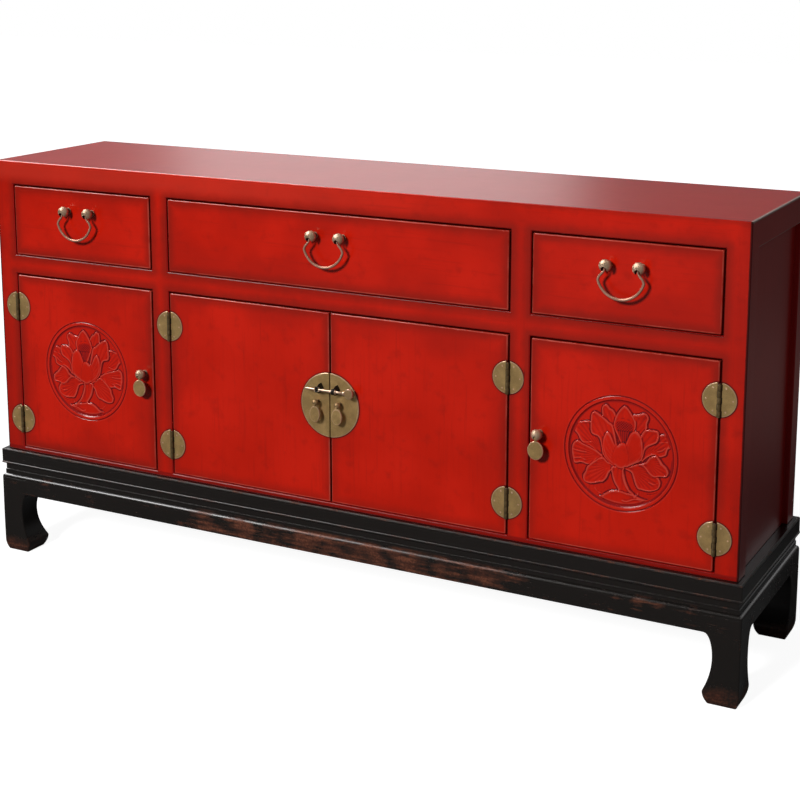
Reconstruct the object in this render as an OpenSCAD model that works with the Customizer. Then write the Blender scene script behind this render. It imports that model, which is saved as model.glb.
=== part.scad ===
// Long low sideboard: a red lacquered case with three drawers over three cupboards,
// standing on a black waisted stand with hoof feet, with round brass hardware.
// Millimetres, +Z up. The front faces -Y. The origin is on the floor, in the middle of
// the whole outline, pulls included.

/* [Case] */
// Width of the case
case_w = 1600; // [1500:10:1800]
// Depth of the case, front to back
case_d = 360; // [340:5:450]
// Height of the case above the stand
case_h = 622; // [600:2:700]
// Height of the stand
stand_h = 228; // [200:2:320]

/* [Front layout] */
// Width of a corner post, seen from the front
post_w = 43; // [38:1:55]
// Depth of a corner post, seen from the side
post_d = 43; // [38:1:55]
// Width of the two stiles between the bays
stile_w = 39; // [36:1:50]
// Clear width of each side bay
side_bay_w = 348; // [310:2:380]
// Height of the band above the drawers, top board included
top_band_h = 48; // [44:1:60]
// Clear height of the drawer bays
drawer_bay_h = 149; // [130:1:165]
// Height of the rails between drawers and doors
middle_rail_h = 39; // [32:1:50]
// Height of the sill that shows under the doors
sill_h = 8; // [6:1:12]
// Gap all round each drawer front and door
seam = 3; // [2:0.5:4]

/* [Boards] */
// Thickness of the top board
top_t = 18; // [14:1:22]
// Thickness of the front frame, from front to back
frame_t = 22; // [20:1:26]
// Gap between the back of a closed door and its stop
stop_gap = 0.5; // [0.3:0.1:0.8]
// Thickness of the side top rails
side_rail_t = 28; // [25:1:32]
// Height of the band at the top of each side, top board included
side_band_h = 50; // [46:1:62]
// Height of the bottom rails behind the side panels
side_foot_h = 30; // [26:1:40]
// Thickness of the side panels
side_panel_t = 10; // [8:1:12]
// How far the side panels lie behind the faces of the posts
side_recess = 10; // [8:1:12]
// Height of the top and bottom rails of the back
back_rail_h = 40; // [34:1:50]
// Thickness of the frame of the back
back_frame_t = 22; // [20:1:26]
// Thickness of the back panels
back_panel_t = 6; // [5:1:8]
// How far the back panels lie behind the face of the back frame
back_recess = 8; // [6:1:10]
// Depth of the grooves that hold the panels
groove = 6; // [4:1:7]
// Length of a tenon
tenon_l = 18; // [12:1:18]
// Thickness of a tenon
tenon_t = 8; // [6:1:10]
// Thickness of the cupboard floor
floor_t = 12; // [12:1:18]
// Thickness of the two upright partitions
partition_t = 15; // [12:1:18]
// Thickness of the dust boards under the drawers
dust_t = 8; // [6:1:12]
// Length and height of a door stop
door_stop = [50, 28]; // [30:1:80]
// How far the door stops reach down behind the doors' upper edges
stop_overlap = 8; // [6:1:12]

/* [Drawers] */
// Clear space behind a closed drawer
drawer_rear_gap = 16; // [8:1:40]
// Height of the drawer sides
drawer_side_h = 120; // [90:1:124]
// Thickness of the drawer sides and backs
drawer_side_t = 12; // [10:1:15]
// Thickness of the drawer bottoms
drawer_bottom_t = 6; // [4:1:8]
// Height of the drawer bottoms above the lower edge of the sides
drawer_bottom_rise = 8; // [6:1:12]
// Sideways play of a drawer, each side
drawer_play = 2; // [1.5:0.5:3]
// Height of the runners, guides rising from them by their own height
runner_h = 12; // [10:1:16]
// Width of a runner inside its bay
runner_w = 16; // [15:1:24]
// Height of the drawer guides above the runners
guide_h = 20; // [16:1:30]
// Running gap over the runners and under the kickers
runner_gap = 0.3; // [0.2:0.1:0.6]

/* [Doors] */
// Height of the two battens on the back of each door
batten_h = 40; // [30:1:50]
// Thickness of the battens
batten_t = 12; // [10:1:16]
// Distance from the ends of the door to its battens, upright
batten_rise = 60; // [50:1:80]
// Distance from the edges of the door to its battens, sideways
batten_inset = 32; // [28:1:50]
// Diameter of the carved roundels
roundel_d = 209; // [180:1:230]
// Height of the roundel's centre above the lower edge of the door
roundel_rise = 184; // [170:1:200]
// Depth of the sunk ground of the roundels
carve_depth = 3; // [2:0.5:4]
// Width of the raised ring round the sunk ground
ring_w = 5; // [4:0.5:8]
// How far the carved lotus stays below the face of the door
lotus_sink = 0.5; // [0:0.1:1]

/* [Hinges] */
// Diameter of the round hinge plates
hinge_d = 60; // [50:1:70]
// Thickness of the hinge plates
hinge_t = 1.2; // [1:0.1:1.6]
// Distance from the upper edge of a door to its upper hinge
hinge_drop = 67; // [60:1:90]
// Distance from the lower edge of a door to its lower hinge
hinge_rise = 60; // [50:1:90]
// How much lower the upper hinge of the right centre door was nailed on
hinge_slip = 11; // [0:1:15]
// Diameter of the hinge barrel
barrel_d = 6.8; // [6:0.1:8]
// Length of the hinge barrel
barrel_l = 58; // [46:1:60]
// Diameter of the hinge pin
hinge_pin_d = 3; // [2.4:0.1:3.4]
// Gap round a turning pin
pin_gap = 0.05; // [0.03:0.01:0.1]

/* [Drawer pulls] */
// Distance between the two posts of a bail pull
bail_post_gap = 60; // [50:1:70]
// Height of the post heads above the lower edge of the drawer bay
bail_rise = 104; // [90:1:108]
// Distance from a post to the arm of the bail beside it
bail_arm_out = 12.8; // [12.8:0.2:16]
// Diameter of the bail's wire
bail_wire_d = 4.4; // [3.6:0.1:4.6]
// Radius of the bends beside the posts
bail_bend_r = 4; // [3:0.25:4]
// Length of the straight part of each arm
bail_leg = 2; // [1:0.5:10]
// Diameter of the round head of the large posts
head_d = 20; // [17:0.5:20]
// Distance from the wood to the middle of a large head
head_reach = 17; // [15:0.5:20]
// Width of the slot in a post's head
slot_w = 5.6; // [5:0.1:6]

/* [Door pulls] */
// Width of the drops on the side doors
drop_w = 32; // [28:1:36]
// Height of the drops on the side doors
drop_h = 38; // [34:1:44]
// Distance from the free edge of a side door to its pull
drop_inset = 20; // [17:1:40]
// Height of the side doors' pulls above the lower edge of the door
drop_rise = 201; // [190:1:230]
// Width of the drops on the lock plate
small_drop_w = 27; // [24:1:30]
// Height of the drops on the lock plate
small_drop_h = 38; // [34:1:44]
// Diameter of the round head of the small posts
small_head_d = 12; // [11:0.5:14]
// Distance from the plate to the middle of a small head
small_head_reach = 13; // [12:0.5:16]
// Thickness of the drops
drop_t = 3; // [2:0.2:4]
// Gap between a post's head and the drop under it
drop_gap = 0.6; // [0.4:0.1:1.5]
// Diameter of the pivot wire in a post's head
pivot_d = 2.6; // [2:0.1:3]

/* [Lock] */
// Diameter of the round lock plate
plate_d = 126; // [110:1:140]
// Thickness of the lock plate
plate_t = 1.5; // [1:0.1:2]
// Height of the plate's centre above the lower edge of the door
plate_rise = 192; // [180:1:210]
// Height of the lock rod above the plate's centre
rod_rise = 33; // [28:1:40]
// Distance from the middle of the plate to each eye
eye_x = 18; // [15:0.5:24]
// Width of an eye along the rod
eye_w = 5; // [4:0.5:7]
// Height of an eye at its foot
eye_h = 14; // [12:0.5:18]
// Thickness of metal round the hole in an eye
eye_wall = 2.4; // [2:0.1:3]
// Distance from the plate to the middle of the rod
rod_reach = 17; // [14:0.5:20]
// Diameter of the lock rod
rod_d = 4.6; // [4:0.1:5.6]
// Gap round the lock rod in its eyes
rod_gap = 0.4; // [0.2:0.1:0.6]
// Length of the rod left of the seam
rod_left = 44; // [36:1:60]
// Length of the rod right of the seam, up to its head
rod_right = 42; // [32:1:60]
// Width and height of the rod's flat head
rod_head = [18, 20]; // [12:1:26]
// Length and diameter of the collar beside the rod's head
rod_collar = [4, 7.4]; // [3:0.2:8]
// Height of the small drops' pivots above the plate's centre
small_drop_rise = 6; // [0:1:8]
// Distance from the middle of the plate to each small drop
small_drop_x = 24; // [20:0.5:28]

/* [Stand] */
// How far the stand projects beyond the case, all round
stand_over = 12; // [8:1:20]
// Height of the stand's top frame
stand_frame_h = 32; // [26:1:40]
// Width of the boards of the top frame
stand_frame_w = 70; // [60:1:90]
// Height of the sunk waist under the top frame
waist_h = 24; // [18:1:30]
// How far the waist is set back from the top frame
waist_recess = 7; // [5:0.5:9]
// Thickness of the waist boards
waist_t = 18; // [14:1:20]
// Height and depth of the lip along the foot of the waist
waist_lip = [6, 3]; // [2:1:8]
// Height of the aprons
apron_h = 40; // [32:1:50]
// Thickness of the aprons
apron_t = 24; // [22:1:30]
// Radius of the rounded upper edge of the aprons and legs
bead_r = 8; // [4:0.5:10]
// Width of a leg at the apron
leg_w = 67; // [62:1:80]
// Width of a leg at its narrowest
neck_w = 50; // [44:1:56]
// Height of the narrowest part of a leg above the floor
neck_z = 88; // [70:1:100]
// Width of a hoof at its toe
toe_w = 66; // [60:1:72]
// Height of the toe above the floor
toe_z = 24; // [18:1:32]
// Width of a hoof on the floor
sole_w = 57; // [50:1:60]
// How far the outer edge of a hoof draws in at the floor
heel_in = 6; // [2:0.5:8]
// Gap at the mitres and at glued butt joints
joint_gap = 0.2; // [0.1:0.05:0.3]

/* [Hidden] */
$fn = 48;

RED = [0.72, 0.1, 0.07];
BLACK = [0.12, 0.1, 0.1];
BARE_WOOD = [0.72, 0.55, 0.36];
BRASS = [0.6, 0.46, 0.28];

// Planes of the case
case_top = stand_h + case_h;
board_top = case_top - top_t;
half_w = case_w / 2;
post_in = half_w - post_w;
pull_reach = max(head_reach + head_d / 2, plate_t + rod_reach + rod_d / 2 + eye_wall);
front_y = (pull_reach - case_d - stand_over) / 2;
back_y = front_y + case_d;
inner_y = front_y + frame_t;
rear_y = back_y - back_frame_t;

// Heights on the front
drawer_z1 = case_top - top_band_h;
drawer_z0 = drawer_z1 - drawer_bay_h;
door_z1 = drawer_z0 - middle_rail_h;
door_z0 = stand_h + sill_h;
leaf_t = frame_t - stop_gap;
drawer_len = case_d - leaf_t - back_frame_t - drawer_rear_gap;
leaf_z0 = door_z0 + seam;
leaf_z1 = door_z1 - seam;
floor_z = stand_h + floor_t;

// Bays, from the inner edge of one upright to the next
centre_half = post_in - side_bay_w - stile_w;
side_in = centre_half + stile_w;
LEFT = [-post_in, -side_in];
CENTRE = [-centre_half, centre_half];
RIGHT = [side_in, post_in];
BAYS = [LEFT, CENTRE, RIGHT];

// Partitions stand behind the middle of the stiles
partition_x = centre_half + stile_w / 2;
partition_faces = [partition_x - partition_t / 2, partition_x + partition_t / 2];

// Clear spans between the partitions and the posts, one for each bay
spans = [
  [-post_in, -partition_faces[1]],
  [-partition_faces[0], partition_faces[0]],
  [partition_faces[1], post_in]];
dust_z = drawer_z0 - runner_h - dust_t;
back_rail_zs = [stand_h, board_top - back_rail_h];

// Doors: edge on the hinge side, edge on the free side
LEFT_DOOR = [LEFT[0] + seam, LEFT[1] - seam];
CENTRE_LEFT_DOOR = [CENTRE[0] + seam, -seam / 2];
CENTRE_RIGHT_DOOR = [CENTRE[1] - seam, seam / 2];
RIGHT_DOOR = [RIGHT[1] - seam, RIGHT[0] + seam];
DOORS = [LEFT_DOOR, CENTRE_LEFT_DOOR, CENTRE_RIGHT_DOOR, RIGHT_DOOR];

// Hinges
barrel_r = barrel_d / 2;
face_gap = 0.2;
barrel_y = front_y - barrel_r - face_gap;
leaf_gap = 0.4;
knuckles = 5;
knuckle_l = barrel_l / knuckles;
knuckle_gap = 0.2;
barrel_sag = 1;
web = 2;

// Pulls. The pivot of a head lies below and in front of its middle, and its pin is as
// long as the head is wide there.
function pivot(d) = [0, -d / 5, -d / 4];
function pin_half(d) = sqrt(pow(d / 2, 2) - pow(norm(pivot(d)), 2));
shank = 0.45;
bail_z = drawer_z0 + bail_rise;
bail_r = bail_post_gap / 2 + bail_arm_out;
bail_stub = 6;
side_pull_z = leaf_z0 + drop_rise;
plate_z = leaf_z0 + plate_rise;
rod_z = plate_z + rod_rise;
rod_y = front_y - plate_t - rod_reach;
rod_r = rod_d / 2;
small_drop_z = plate_z + small_drop_rise;
knuckle_r = 3;
slot_gap = 0.6;
roundel_z = leaf_z0 + roundel_rise;
overcut = 1;

// Stand
outer_x = half_w + stand_over;
outer_y = case_d / 2 + stand_over;
middle_y = front_y + case_d / 2;
frame_z = stand_h - stand_frame_h;
apron_z1 = frame_z - waist_h;
apron_z0 = apron_z1 - apron_h;
leg_steps = 8;

// A box from one corner to the opposite one
module block(a, b) translate(a) cube(b - a);

// Tenons on both ends of a rail that runs along X, sunk a little into the rail itself
module tenons_x(a, b) {
  shoulder = groove + 2;
  y = (a.y + b.y - tenon_t) / 2;
  for (x = [[a.x - tenon_l, a.x + overcut], [b.x - overcut, b.x + tenon_l]])
    block([x[0], y, a.z + shoulder], [x[1], y + tenon_t, b.z - shoulder]);
}

// Tenons on both ends of a rail that runs along Y
module tenons_y(a, b) {
  shoulder = groove + 2;
  x = (a.x + b.x - tenon_t) / 2;
  for (y = [[a.y - tenon_l, a.y + overcut], [b.y - overcut, b.y + tenon_l]])
    block([x, y[0], a.z + shoulder], [x + tenon_t, y[1], b.z - shoulder]);
}

// Corners of the rails, which the posts and stiles share for their mortises
function top_rail() = [[-post_in, front_y, drawer_z1], [post_in, inner_y, board_top]];
function middle_rail(bay) = [[bay[0], front_y, door_z1], [bay[1], inner_y, drawer_z0]];
function side_top_rail() = [
  [half_w - side_rail_t, front_y + post_d, case_top - side_band_h],
  [half_w, back_y - post_d, board_top]];
function side_foot_rail() = [
  [post_in, front_y + post_d, stand_h],
  [half_w - side_recess - side_panel_t, back_y - post_d, stand_h + side_foot_h]];
function back_rail(z) = [[-post_in, rear_y, z], [post_in, back_y, z + back_rail_h]];

// Panels with their edges in the grooves
module side_panel() {
  x = half_w - side_recess - side_panel_t;
  block([x, front_y + post_d - groove, stand_h],
        [x + side_panel_t, back_y - post_d + groove, case_top - side_band_h + groove]);
}

module back_panel(bay) {
  y = back_y - back_recess - back_panel_t;
  block([bay[0] - groove, y, stand_h + back_rail_h - groove],
        [bay[1] + groove, y + back_panel_t, board_top - back_rail_h + groove]);
}

module both_sides() {
  children();
  mirror([1, 0, 0]) children();
}

module top_board() color(RED)
  block([-half_w, front_y, board_top], [half_w, back_y, case_top]);

module corner_posts() color(RED) difference() {
  both_sides() for (y = [front_y, back_y - post_d])
    block([post_in, y, stand_h], [half_w, y + post_d, board_top]);
  tenons_x(top_rail()[0], top_rail()[1]);
  for (bay = [LEFT, RIGHT]) tenons_x(middle_rail(bay)[0], middle_rail(bay)[1]);
  for (z = back_rail_zs) tenons_x(back_rail(z)[0], back_rail(z)[1]);
  both_sides() {
    tenons_y(side_top_rail()[0], side_top_rail()[1]);
    tenons_y(side_foot_rail()[0], side_foot_rail()[1]);
    side_panel();
  }
  for (bay = BAYS) back_panel(bay);
}

module front_top_rail() color(RED) {
  block(top_rail()[0], top_rail()[1]);
  tenons_x(top_rail()[0], top_rail()[1]);
}

module front_middle_rails() color(RED) for (bay = BAYS) {
  block(middle_rail(bay)[0], middle_rail(bay)[1]);
  tenons_x(middle_rail(bay)[0], middle_rail(bay)[1]);
}

module front_sill() color(RED)
  block([-post_in, front_y, stand_h], [post_in, inner_y, door_z0]);

module inner_stiles() color(RED) difference() {
  both_sides() block([centre_half, front_y, door_z0], [side_in, inner_y, drawer_z1]);
  for (bay = BAYS) tenons_x(middle_rail(bay)[0], middle_rail(bay)[1]);
}

module side_rails() color(RED) both_sides() {
  difference() {
    union() {
      block(side_top_rail()[0], side_top_rail()[1]);
      tenons_y(side_top_rail()[0], side_top_rail()[1]);
    }
    side_panel();
  }
  block(side_foot_rail()[0], side_foot_rail()[1]);
  tenons_y(side_foot_rail()[0], side_foot_rail()[1]);
}

module side_panels() color(RED) both_sides() side_panel();

// Two rails and two muntins, the muntins a glue line short of the rails
module back_frame() color(BLACK) difference() {
  union() {
    for (z = back_rail_zs) {
      block(back_rail(z)[0], back_rail(z)[1]);
      tenons_x(back_rail(z)[0], back_rail(z)[1]);
    }
    both_sides()
      block([centre_half, rear_y, stand_h + back_rail_h + joint_gap],
            [side_in, back_y, board_top - back_rail_h - joint_gap]);
  }
  for (bay = BAYS) back_panel(bay);
}

module back_panels() color(BLACK) for (bay = BAYS) back_panel(bay);

module cupboard_floor() color(BARE_WOOD)
  block([-post_in, inner_y, stand_h], [post_in, rear_y, floor_z]);

module partitions() color(BARE_WOOD) both_sides()
  block([partition_faces[0], inner_y, floor_z], [partition_faces[1], rear_y, board_top]);

module dust_boards() color(BARE_WOOD) for (span = spans)
  block([span[0], inner_y, dust_z], [span[1], rear_y, dust_z + dust_t]);

// Strips along both sides of every bay, each reaching back to what carries it
module bay_strips(z0, z1) for (i = [0:2]) {
  block([spans[i][0], inner_y, z0], [BAYS[i][0] + runner_w, rear_y, z1]);
  block([BAYS[i][1] - runner_w, inner_y, z0], [spans[i][1], rear_y, z1]);
}

module drawer_runners() color(BARE_WOOD) bay_strips(drawer_z0 - runner_h, drawer_z0);

// Guides fill the gap beside the partitions; kickers keep a drawn drawer level
module drawer_guides() color(BARE_WOOD) {
  both_sides() {
    block([centre_half, inner_y, drawer_z0],
          [partition_faces[0], rear_y, drawer_z0 + guide_h]);
    block([partition_faces[1], inner_y, drawer_z0],
          [side_in, rear_y, drawer_z0 + guide_h]);
  }
  bay_strips(drawer_z0 + drawer_side_h + 2 * runner_gap, board_top);
}

// Blocks behind the middle rails, near the free edge of each door
module door_stops() color(BARE_WOOD) for (door = DOORS) {
  way = sign(door[1] - door[0]);
  edge = door[1] - way * seam;
  z0 = door_z1 - stop_overlap;
  block([min(edge, edge - way * door_stop[0]), inner_y, z0],
        [max(edge, edge - way * door_stop[0]), inner_y + batten_t,
         min(z0 + door_stop[1], dust_z)]);
}

// Hinge parts, about the point where the seam, the face and the hinge's middle meet.
// way is 1 for the leaf to the right of the barrel and -1 for the one to its left.
function knuckle_z(i) = -barrel_sag - barrel_l / 2 + i * knuckle_l;

module hinge_leaf(way, fingers) difference() {
  union() {
    rotate([90, 0, 0]) linear_extrude(hinge_t) intersection() {
      circle(d = hinge_d);
      translate([way > 0 ? barrel_r + leaf_gap : -hinge_d, -hinge_d])
        square([hinge_d - barrel_r - leaf_gap, 2 * hinge_d]);
    }
    for (i = fingers) translate([0, 0, knuckle_z(i)]) {
      translate([0, barrel_y - front_y, 0]) cylinder(r = barrel_r, h = knuckle_l - knuckle_gap);
      translate([way > 0 ? hinge_t : -barrel_r - web, -hinge_t, 0])
        cube([barrel_r + web - hinge_t, hinge_t - face_gap, knuckle_l - knuckle_gap]);
    }
  }
  translate([0, barrel_y - front_y, -barrel_l])
    cylinder(d = hinge_pin_d + 2 * pin_gap, h = 2 * barrel_l);
}

function hinge_x(door) = door[0] - sign(door[1] - door[0]) * seam / 2;
function hinge_zs(door) = [
  leaf_z1 - hinge_drop - (door == CENTRE_RIGHT_DOOR ? hinge_slip : 0),
  leaf_z0 + hinge_rise];

module door_hinge_leaves(door) color(BRASS) for (z = hinge_zs(door))
  translate([hinge_x(door), front_y, z]) hinge_leaf(sign(door[1] - door[0]), [1, 3]);

module hinge_frame_leaves() color(BRASS) for (door = DOORS) for (z = hinge_zs(door))
  translate([hinge_x(door), front_y, z]) hinge_leaf(-sign(door[1] - door[0]), [0, 2, 4]);

module hinge_pins() color(BRASS) for (door = DOORS) for (z = hinge_zs(door))
  translate([hinge_x(door), barrel_y, z + knuckle_z(0)])
    cylinder(d = hinge_pin_d, h = barrel_l);

// Drawer of one bay
function box_z0() = drawer_z0 + runner_gap;

module drawer_bottom_panel(bay) {
  side = drawer_play + drawer_side_t;
  block([bay[0] + side - groove, front_y + leaf_t - groove, box_z0() + drawer_bottom_rise],
        [bay[1] - side + groove, front_y + leaf_t + drawer_len,
         box_z0() + drawer_bottom_rise + drawer_bottom_t]);
}

module drawer_front(bay) color(RED) difference() {
  block([bay[0] + seam, front_y, drawer_z0 + seam],
        [bay[1] - seam, front_y + leaf_t, drawer_z1 - seam]);
  drawer_bottom_panel(bay);
}

module drawer_box(bay) color(BARE_WOOD) {
  y0 = front_y + leaf_t;
  y1 = y0 + drawer_len;
  z1 = box_z0() + drawer_side_h;
  inside = drawer_play + drawer_side_t;
  difference() {
    for (x = [bay[0] + drawer_play, bay[1] - inside])
      block([x, y0, box_z0()], [x + drawer_side_t, y1, z1]);
    drawer_bottom_panel(bay);
  }
  block([bay[0] + inside + joint_gap, y1 - drawer_side_t,
         box_z0() + drawer_bottom_rise + drawer_bottom_t],
        [bay[1] - inside - joint_gap, y1, z1]);
}

module drawer_bottom(bay) color(BARE_WOOD) drawer_bottom_panel(bay);

// Round-headed post on the face y = 0, standing out to -Y
module post(reach, d) {
  rotate([90, 0, 0]) cylinder(d = d * shank, h = reach);
  translate([0, -reach, 0]) sphere(d = d);
}

// Slot in the lower half of a post's head, round the pivot
module post_slot(reach, d)
  translate([-slot_w / 2, pivot(d).y - reach - d, pivot(d).z - d])
    cube([slot_w, d + knuckle_r + slot_gap, d + knuckle_r + slot_gap]);

module pull_posts(bay) color(BRASS) for (side = [-1, 1])
  translate([(bay[0] + bay[1] + side * bail_post_gap) / 2, front_y, bail_z]) difference() {
    post(head_reach, head_d);
    post_slot(head_reach, head_d);
    translate([-head_d, pivot(head_d).y - head_reach, pivot(head_d).z]) rotate([0, 90, 0])
      cylinder(d = bail_wire_d + 2 * pin_gap, h = 2 * head_d);
  }

// Half ring of wire in the XZ plane, from angle a0 over the given turn
module wire_arc(r, a0, turn) rotate([90, 0, 0]) rotate([0, 0, a0])
  rotate_extrude(angle = turn) translate([r, 0]) circle(d = bail_wire_d);

module bail(bay) color(BRASS)
  translate([(bay[0] + bay[1]) / 2, front_y - head_reach, bail_z]) translate(pivot(head_d)) {
    arc_z = -bail_bend_r - bail_leg;
    translate([0, 0, arc_z]) wire_arc(bail_r, 180, 180);
    both_sides() {
      translate([bail_r, 0, arc_z]) cylinder(d = bail_wire_d, h = bail_leg);
      translate([bail_r - bail_bend_r, 0, -bail_bend_r]) wire_arc(bail_bend_r, 0, 90);
      translate([bail_post_gap / 2 - bail_stub, 0, 0]) rotate([0, 90, 0])
        cylinder(d = bail_wire_d, h = bail_arm_out - bail_bend_r + bail_stub);
    }
  }

// Post of a drop: its slot is crossed by the pivot wire
module drop_post(reach, d) {
  difference() {
    post(reach, d);
    post_slot(reach, d);
  }
  translate([-pin_half(d), pivot(d).y - reach, pivot(d).z]) rotate([0, 90, 0])
    cylinder(d = pivot_d, h = 2 * pin_half(d));
}

// Oval drop that hangs from its pivot at the origin, clear of the head above it
module drop(w, h, head) {
  plate_z = -head / 2 - drop_gap - pivot(head).z - h / 2;
  knuckle_w = slot_w - slot_gap;
  oval = [for (a = [0:10:350]) [w / 2 * cos(a), h / 2 * sin(a)]];
  difference() {
    union() {
      translate([0, drop_t / 2, plate_z]) rotate([90, 0, 0]) linear_extrude(drop_t) polygon(oval);
      translate([-knuckle_w / 2, -drop_t / 2, plate_z])
        cube([knuckle_w, drop_t, -plate_z]);
      translate([-knuckle_w / 2, 0, 0]) rotate([0, 90, 0]) cylinder(r = knuckle_r, h = knuckle_w);
    }
    translate([-knuckle_w, 0, 0]) rotate([0, 90, 0])
      cylinder(d = pivot_d + 2 * pin_gap, h = 2 * knuckle_w);
  }
}

// Places on the doors
function pull_x(door) = door[1] - sign(door[1] - door[0]) * drop_inset;

module side_door_post(door) color(BRASS)
  translate([pull_x(door), front_y, side_pull_z]) drop_post(head_reach, head_d);

module side_door_drop(door) color(BRASS)
  translate([pull_x(door), front_y - head_reach, side_pull_z]) translate(pivot(head_d))
    drop(drop_w, drop_h, head_d);

module centre_drop(side) color(BRASS)
  translate([side * small_drop_x, front_y - plate_t - small_head_reach, small_drop_z])
    translate(pivot(small_head_d)) drop(small_drop_w, small_drop_h, small_head_d);

// Pointed petal from the origin upwards, as the overlap of two circles
module petal(l, w) {
  r = (l * l + w * w) / (4 * w);
  translate([0, l / 2]) intersection() {
    translate([r - w / 2, 0]) circle(r = r);
    translate([w / 2 - r, 0]) circle(r = r);
  }
}

// Lotus of the roundel, in the plane of the door, for a ground of radius 1
module lotus() {
  for (side = [-1, 1]) {
    translate([0, -0.28]) rotate(side * 30) petal(1.02, 0.4);
    translate([0, -0.28]) rotate(side * 66) petal(0.94, 0.36);
    translate([0, -0.42]) rotate(side * 104) petal(0.8, 0.3);
    translate([0, -0.5]) rotate(side * 140) petal(0.46, 0.24);
  }
  translate([0, -0.28]) petal(1.16, 0.46);
  translate([-0.04, -0.92]) square([0.08, 0.7]);
}

module door_panel(door) color(RED) {
  x0 = min(door[0], door[1]);
  x1 = max(door[0], door[1]);
  block([x0, front_y, leaf_z0], [x1, front_y + leaf_t, leaf_z1]);
}

module carved_door_panel(door) color(RED) {
  ground_r = roundel_d / 2 - 2 * ring_w;
  middle = [(door[0] + door[1]) / 2, front_y, roundel_z];
  difference() {
    door_panel(door);
    translate(middle) rotate([90, 0, 0]) translate([0, 0, -carve_depth]) {
      cylinder(r = ground_r, h = 2 * carve_depth, $fn = 96);
      difference() {
        cylinder(d = roundel_d, h = 2 * carve_depth, $fn = 96);
        translate([0, 0, -overcut])
          cylinder(r = roundel_d / 2 - ring_w, h = 2 * (carve_depth + overcut), $fn = 96);
      }
    }
  }
  translate([middle.x, front_y + carve_depth + overcut, middle.z]) rotate([90, 0, 0])
    linear_extrude(carve_depth + overcut - lotus_sink) scale(ground_r) lotus();
}

module door_battens(door) color(BARE_WOOD) {
  x0 = min(door[0], door[1]) + batten_inset;
  x1 = max(door[0], door[1]) - batten_inset;
  for (z = [leaf_z0 + batten_rise, leaf_z1 - batten_rise - batten_h])
    block([x0, front_y + leaf_t, z], [x1, front_y + leaf_t + batten_t, z + batten_h]);
}

// Half of the lock plate: side is -1 for the left door and 1 for the right one
module lock_plate(side) color(BRASS)
  translate([0, front_y, plate_z]) rotate([90, 0, 0]) linear_extrude(plate_t) intersection() {
    circle(d = plate_d, $fn = 96);
    translate([side > 0 ? seam / 2 : -plate_d, -plate_d])
      square([plate_d - seam / 2, 2 * plate_d]);
  }

// Eye for the rod, with its hole at the origin
module eye() {
  nose_r = rod_r + eye_wall;
  translate([-eye_w / 2, 0, 0]) rotate([0, 90, 0]) cylinder(r = nose_r, h = eye_w);
  translate([-eye_w / 2, 0, -nose_r]) cube([eye_w, rod_reach, 2 * nose_r]);
  translate([-eye_w / 2, rod_reach / 2, -eye_h / 2]) cube([eye_w, rod_reach / 2, eye_h]);
}

// The left eye is open to the front, so the rod can leave it as the doors swing
module lock_studs(side) color(BRASS) {
  hole_d = rod_d + 2 * rod_gap;
  translate([side * eye_x, rod_y, rod_z]) difference() {
    eye();
    translate([-eye_w, 0, 0]) rotate([0, 90, 0]) cylinder(d = hole_d, h = 2 * eye_w);
    if (side < 0) translate([-eye_w, -rod_reach, -hole_d / 2]) cube([2 * eye_w, rod_reach, hole_d]);
  }
  translate([side * small_drop_x, front_y - plate_t, small_drop_z])
    drop_post(small_head_reach, small_head_d);
}

module lock_rod() color(BRASS) translate([0, rod_y, rod_z]) {
  translate([-rod_left, 0, 0]) rotate([0, 90, 0]) cylinder(d = rod_d, h = rod_left + rod_right);
  translate([rod_right - rod_collar[0], 0, 0]) rotate([0, 90, 0])
    cylinder(d = rod_collar[1], h = rod_collar[0]);
  translate([rod_right + rod_head[0] / 2 - overcut, rod_r, 0]) rotate([90, 0, 0])
    linear_extrude(rod_d)
      polygon([for (a = [0:10:350]) [rod_head[0] / 2 * cos(a), rod_head[1] / 2 * sin(a)]]);
}

// One mitred board of the stand, its outer face on y = 0 and its profile in the YZ plane
module mitred(l, w, z0, z1, profile) intersection() {
  translate([-l / 2, 0, 0]) rotate([90, 0, 90]) linear_extrude(l) polygon(profile);
  translate([0, 0, z0 - overcut]) linear_extrude(z1 - z0 + 2 * overcut)
    polygon([[joint_gap - l / 2, 0], [l / 2 - joint_gap, 0],
             [l / 2 - joint_gap - w, w], [joint_gap + w - l / 2, w]]);
}

// The same profile on all four sides of the stand, set back by inset
module four_sides(inset, w, z0, z1, profile) translate([0, middle_y, 0]) {
  long = 2 * (outer_x - inset);
  short = 2 * (outer_y - inset);
  for (turn = [0, 180]) {
    rotate(turn) translate([0, inset - outer_y, 0]) mitred(long, w, z0, z1, profile);
    rotate(turn + 90) translate([0, inset - outer_x, 0]) mitred(short, w, z0, z1, profile);
  }
}

module stand_frame() color(BLACK)
  four_sides(0, stand_frame_w, frame_z, stand_h,
             [[0, frame_z], [stand_frame_w, frame_z], [stand_frame_w, stand_h], [0, stand_h]]);

module stand_waist() color(BLACK)
  four_sides(waist_recess - waist_lip[1], waist_t + waist_lip[1], apron_z1, frame_z,
             [[0, apron_z1], [waist_t + waist_lip[1], apron_z1],
              [waist_t + waist_lip[1], frame_z], [waist_lip[1], frame_z],
              [waist_lip[1], apron_z1 + waist_lip[0]], [0, apron_z1 + waist_lip[0]]]);

// Rounded upper outer edge, from the top face round to the outer face
function bead() = [for (a = [90:15:180])
  [bead_r + bead_r * cos(a), apron_z1 - bead_r + bead_r * sin(a)]];

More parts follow.
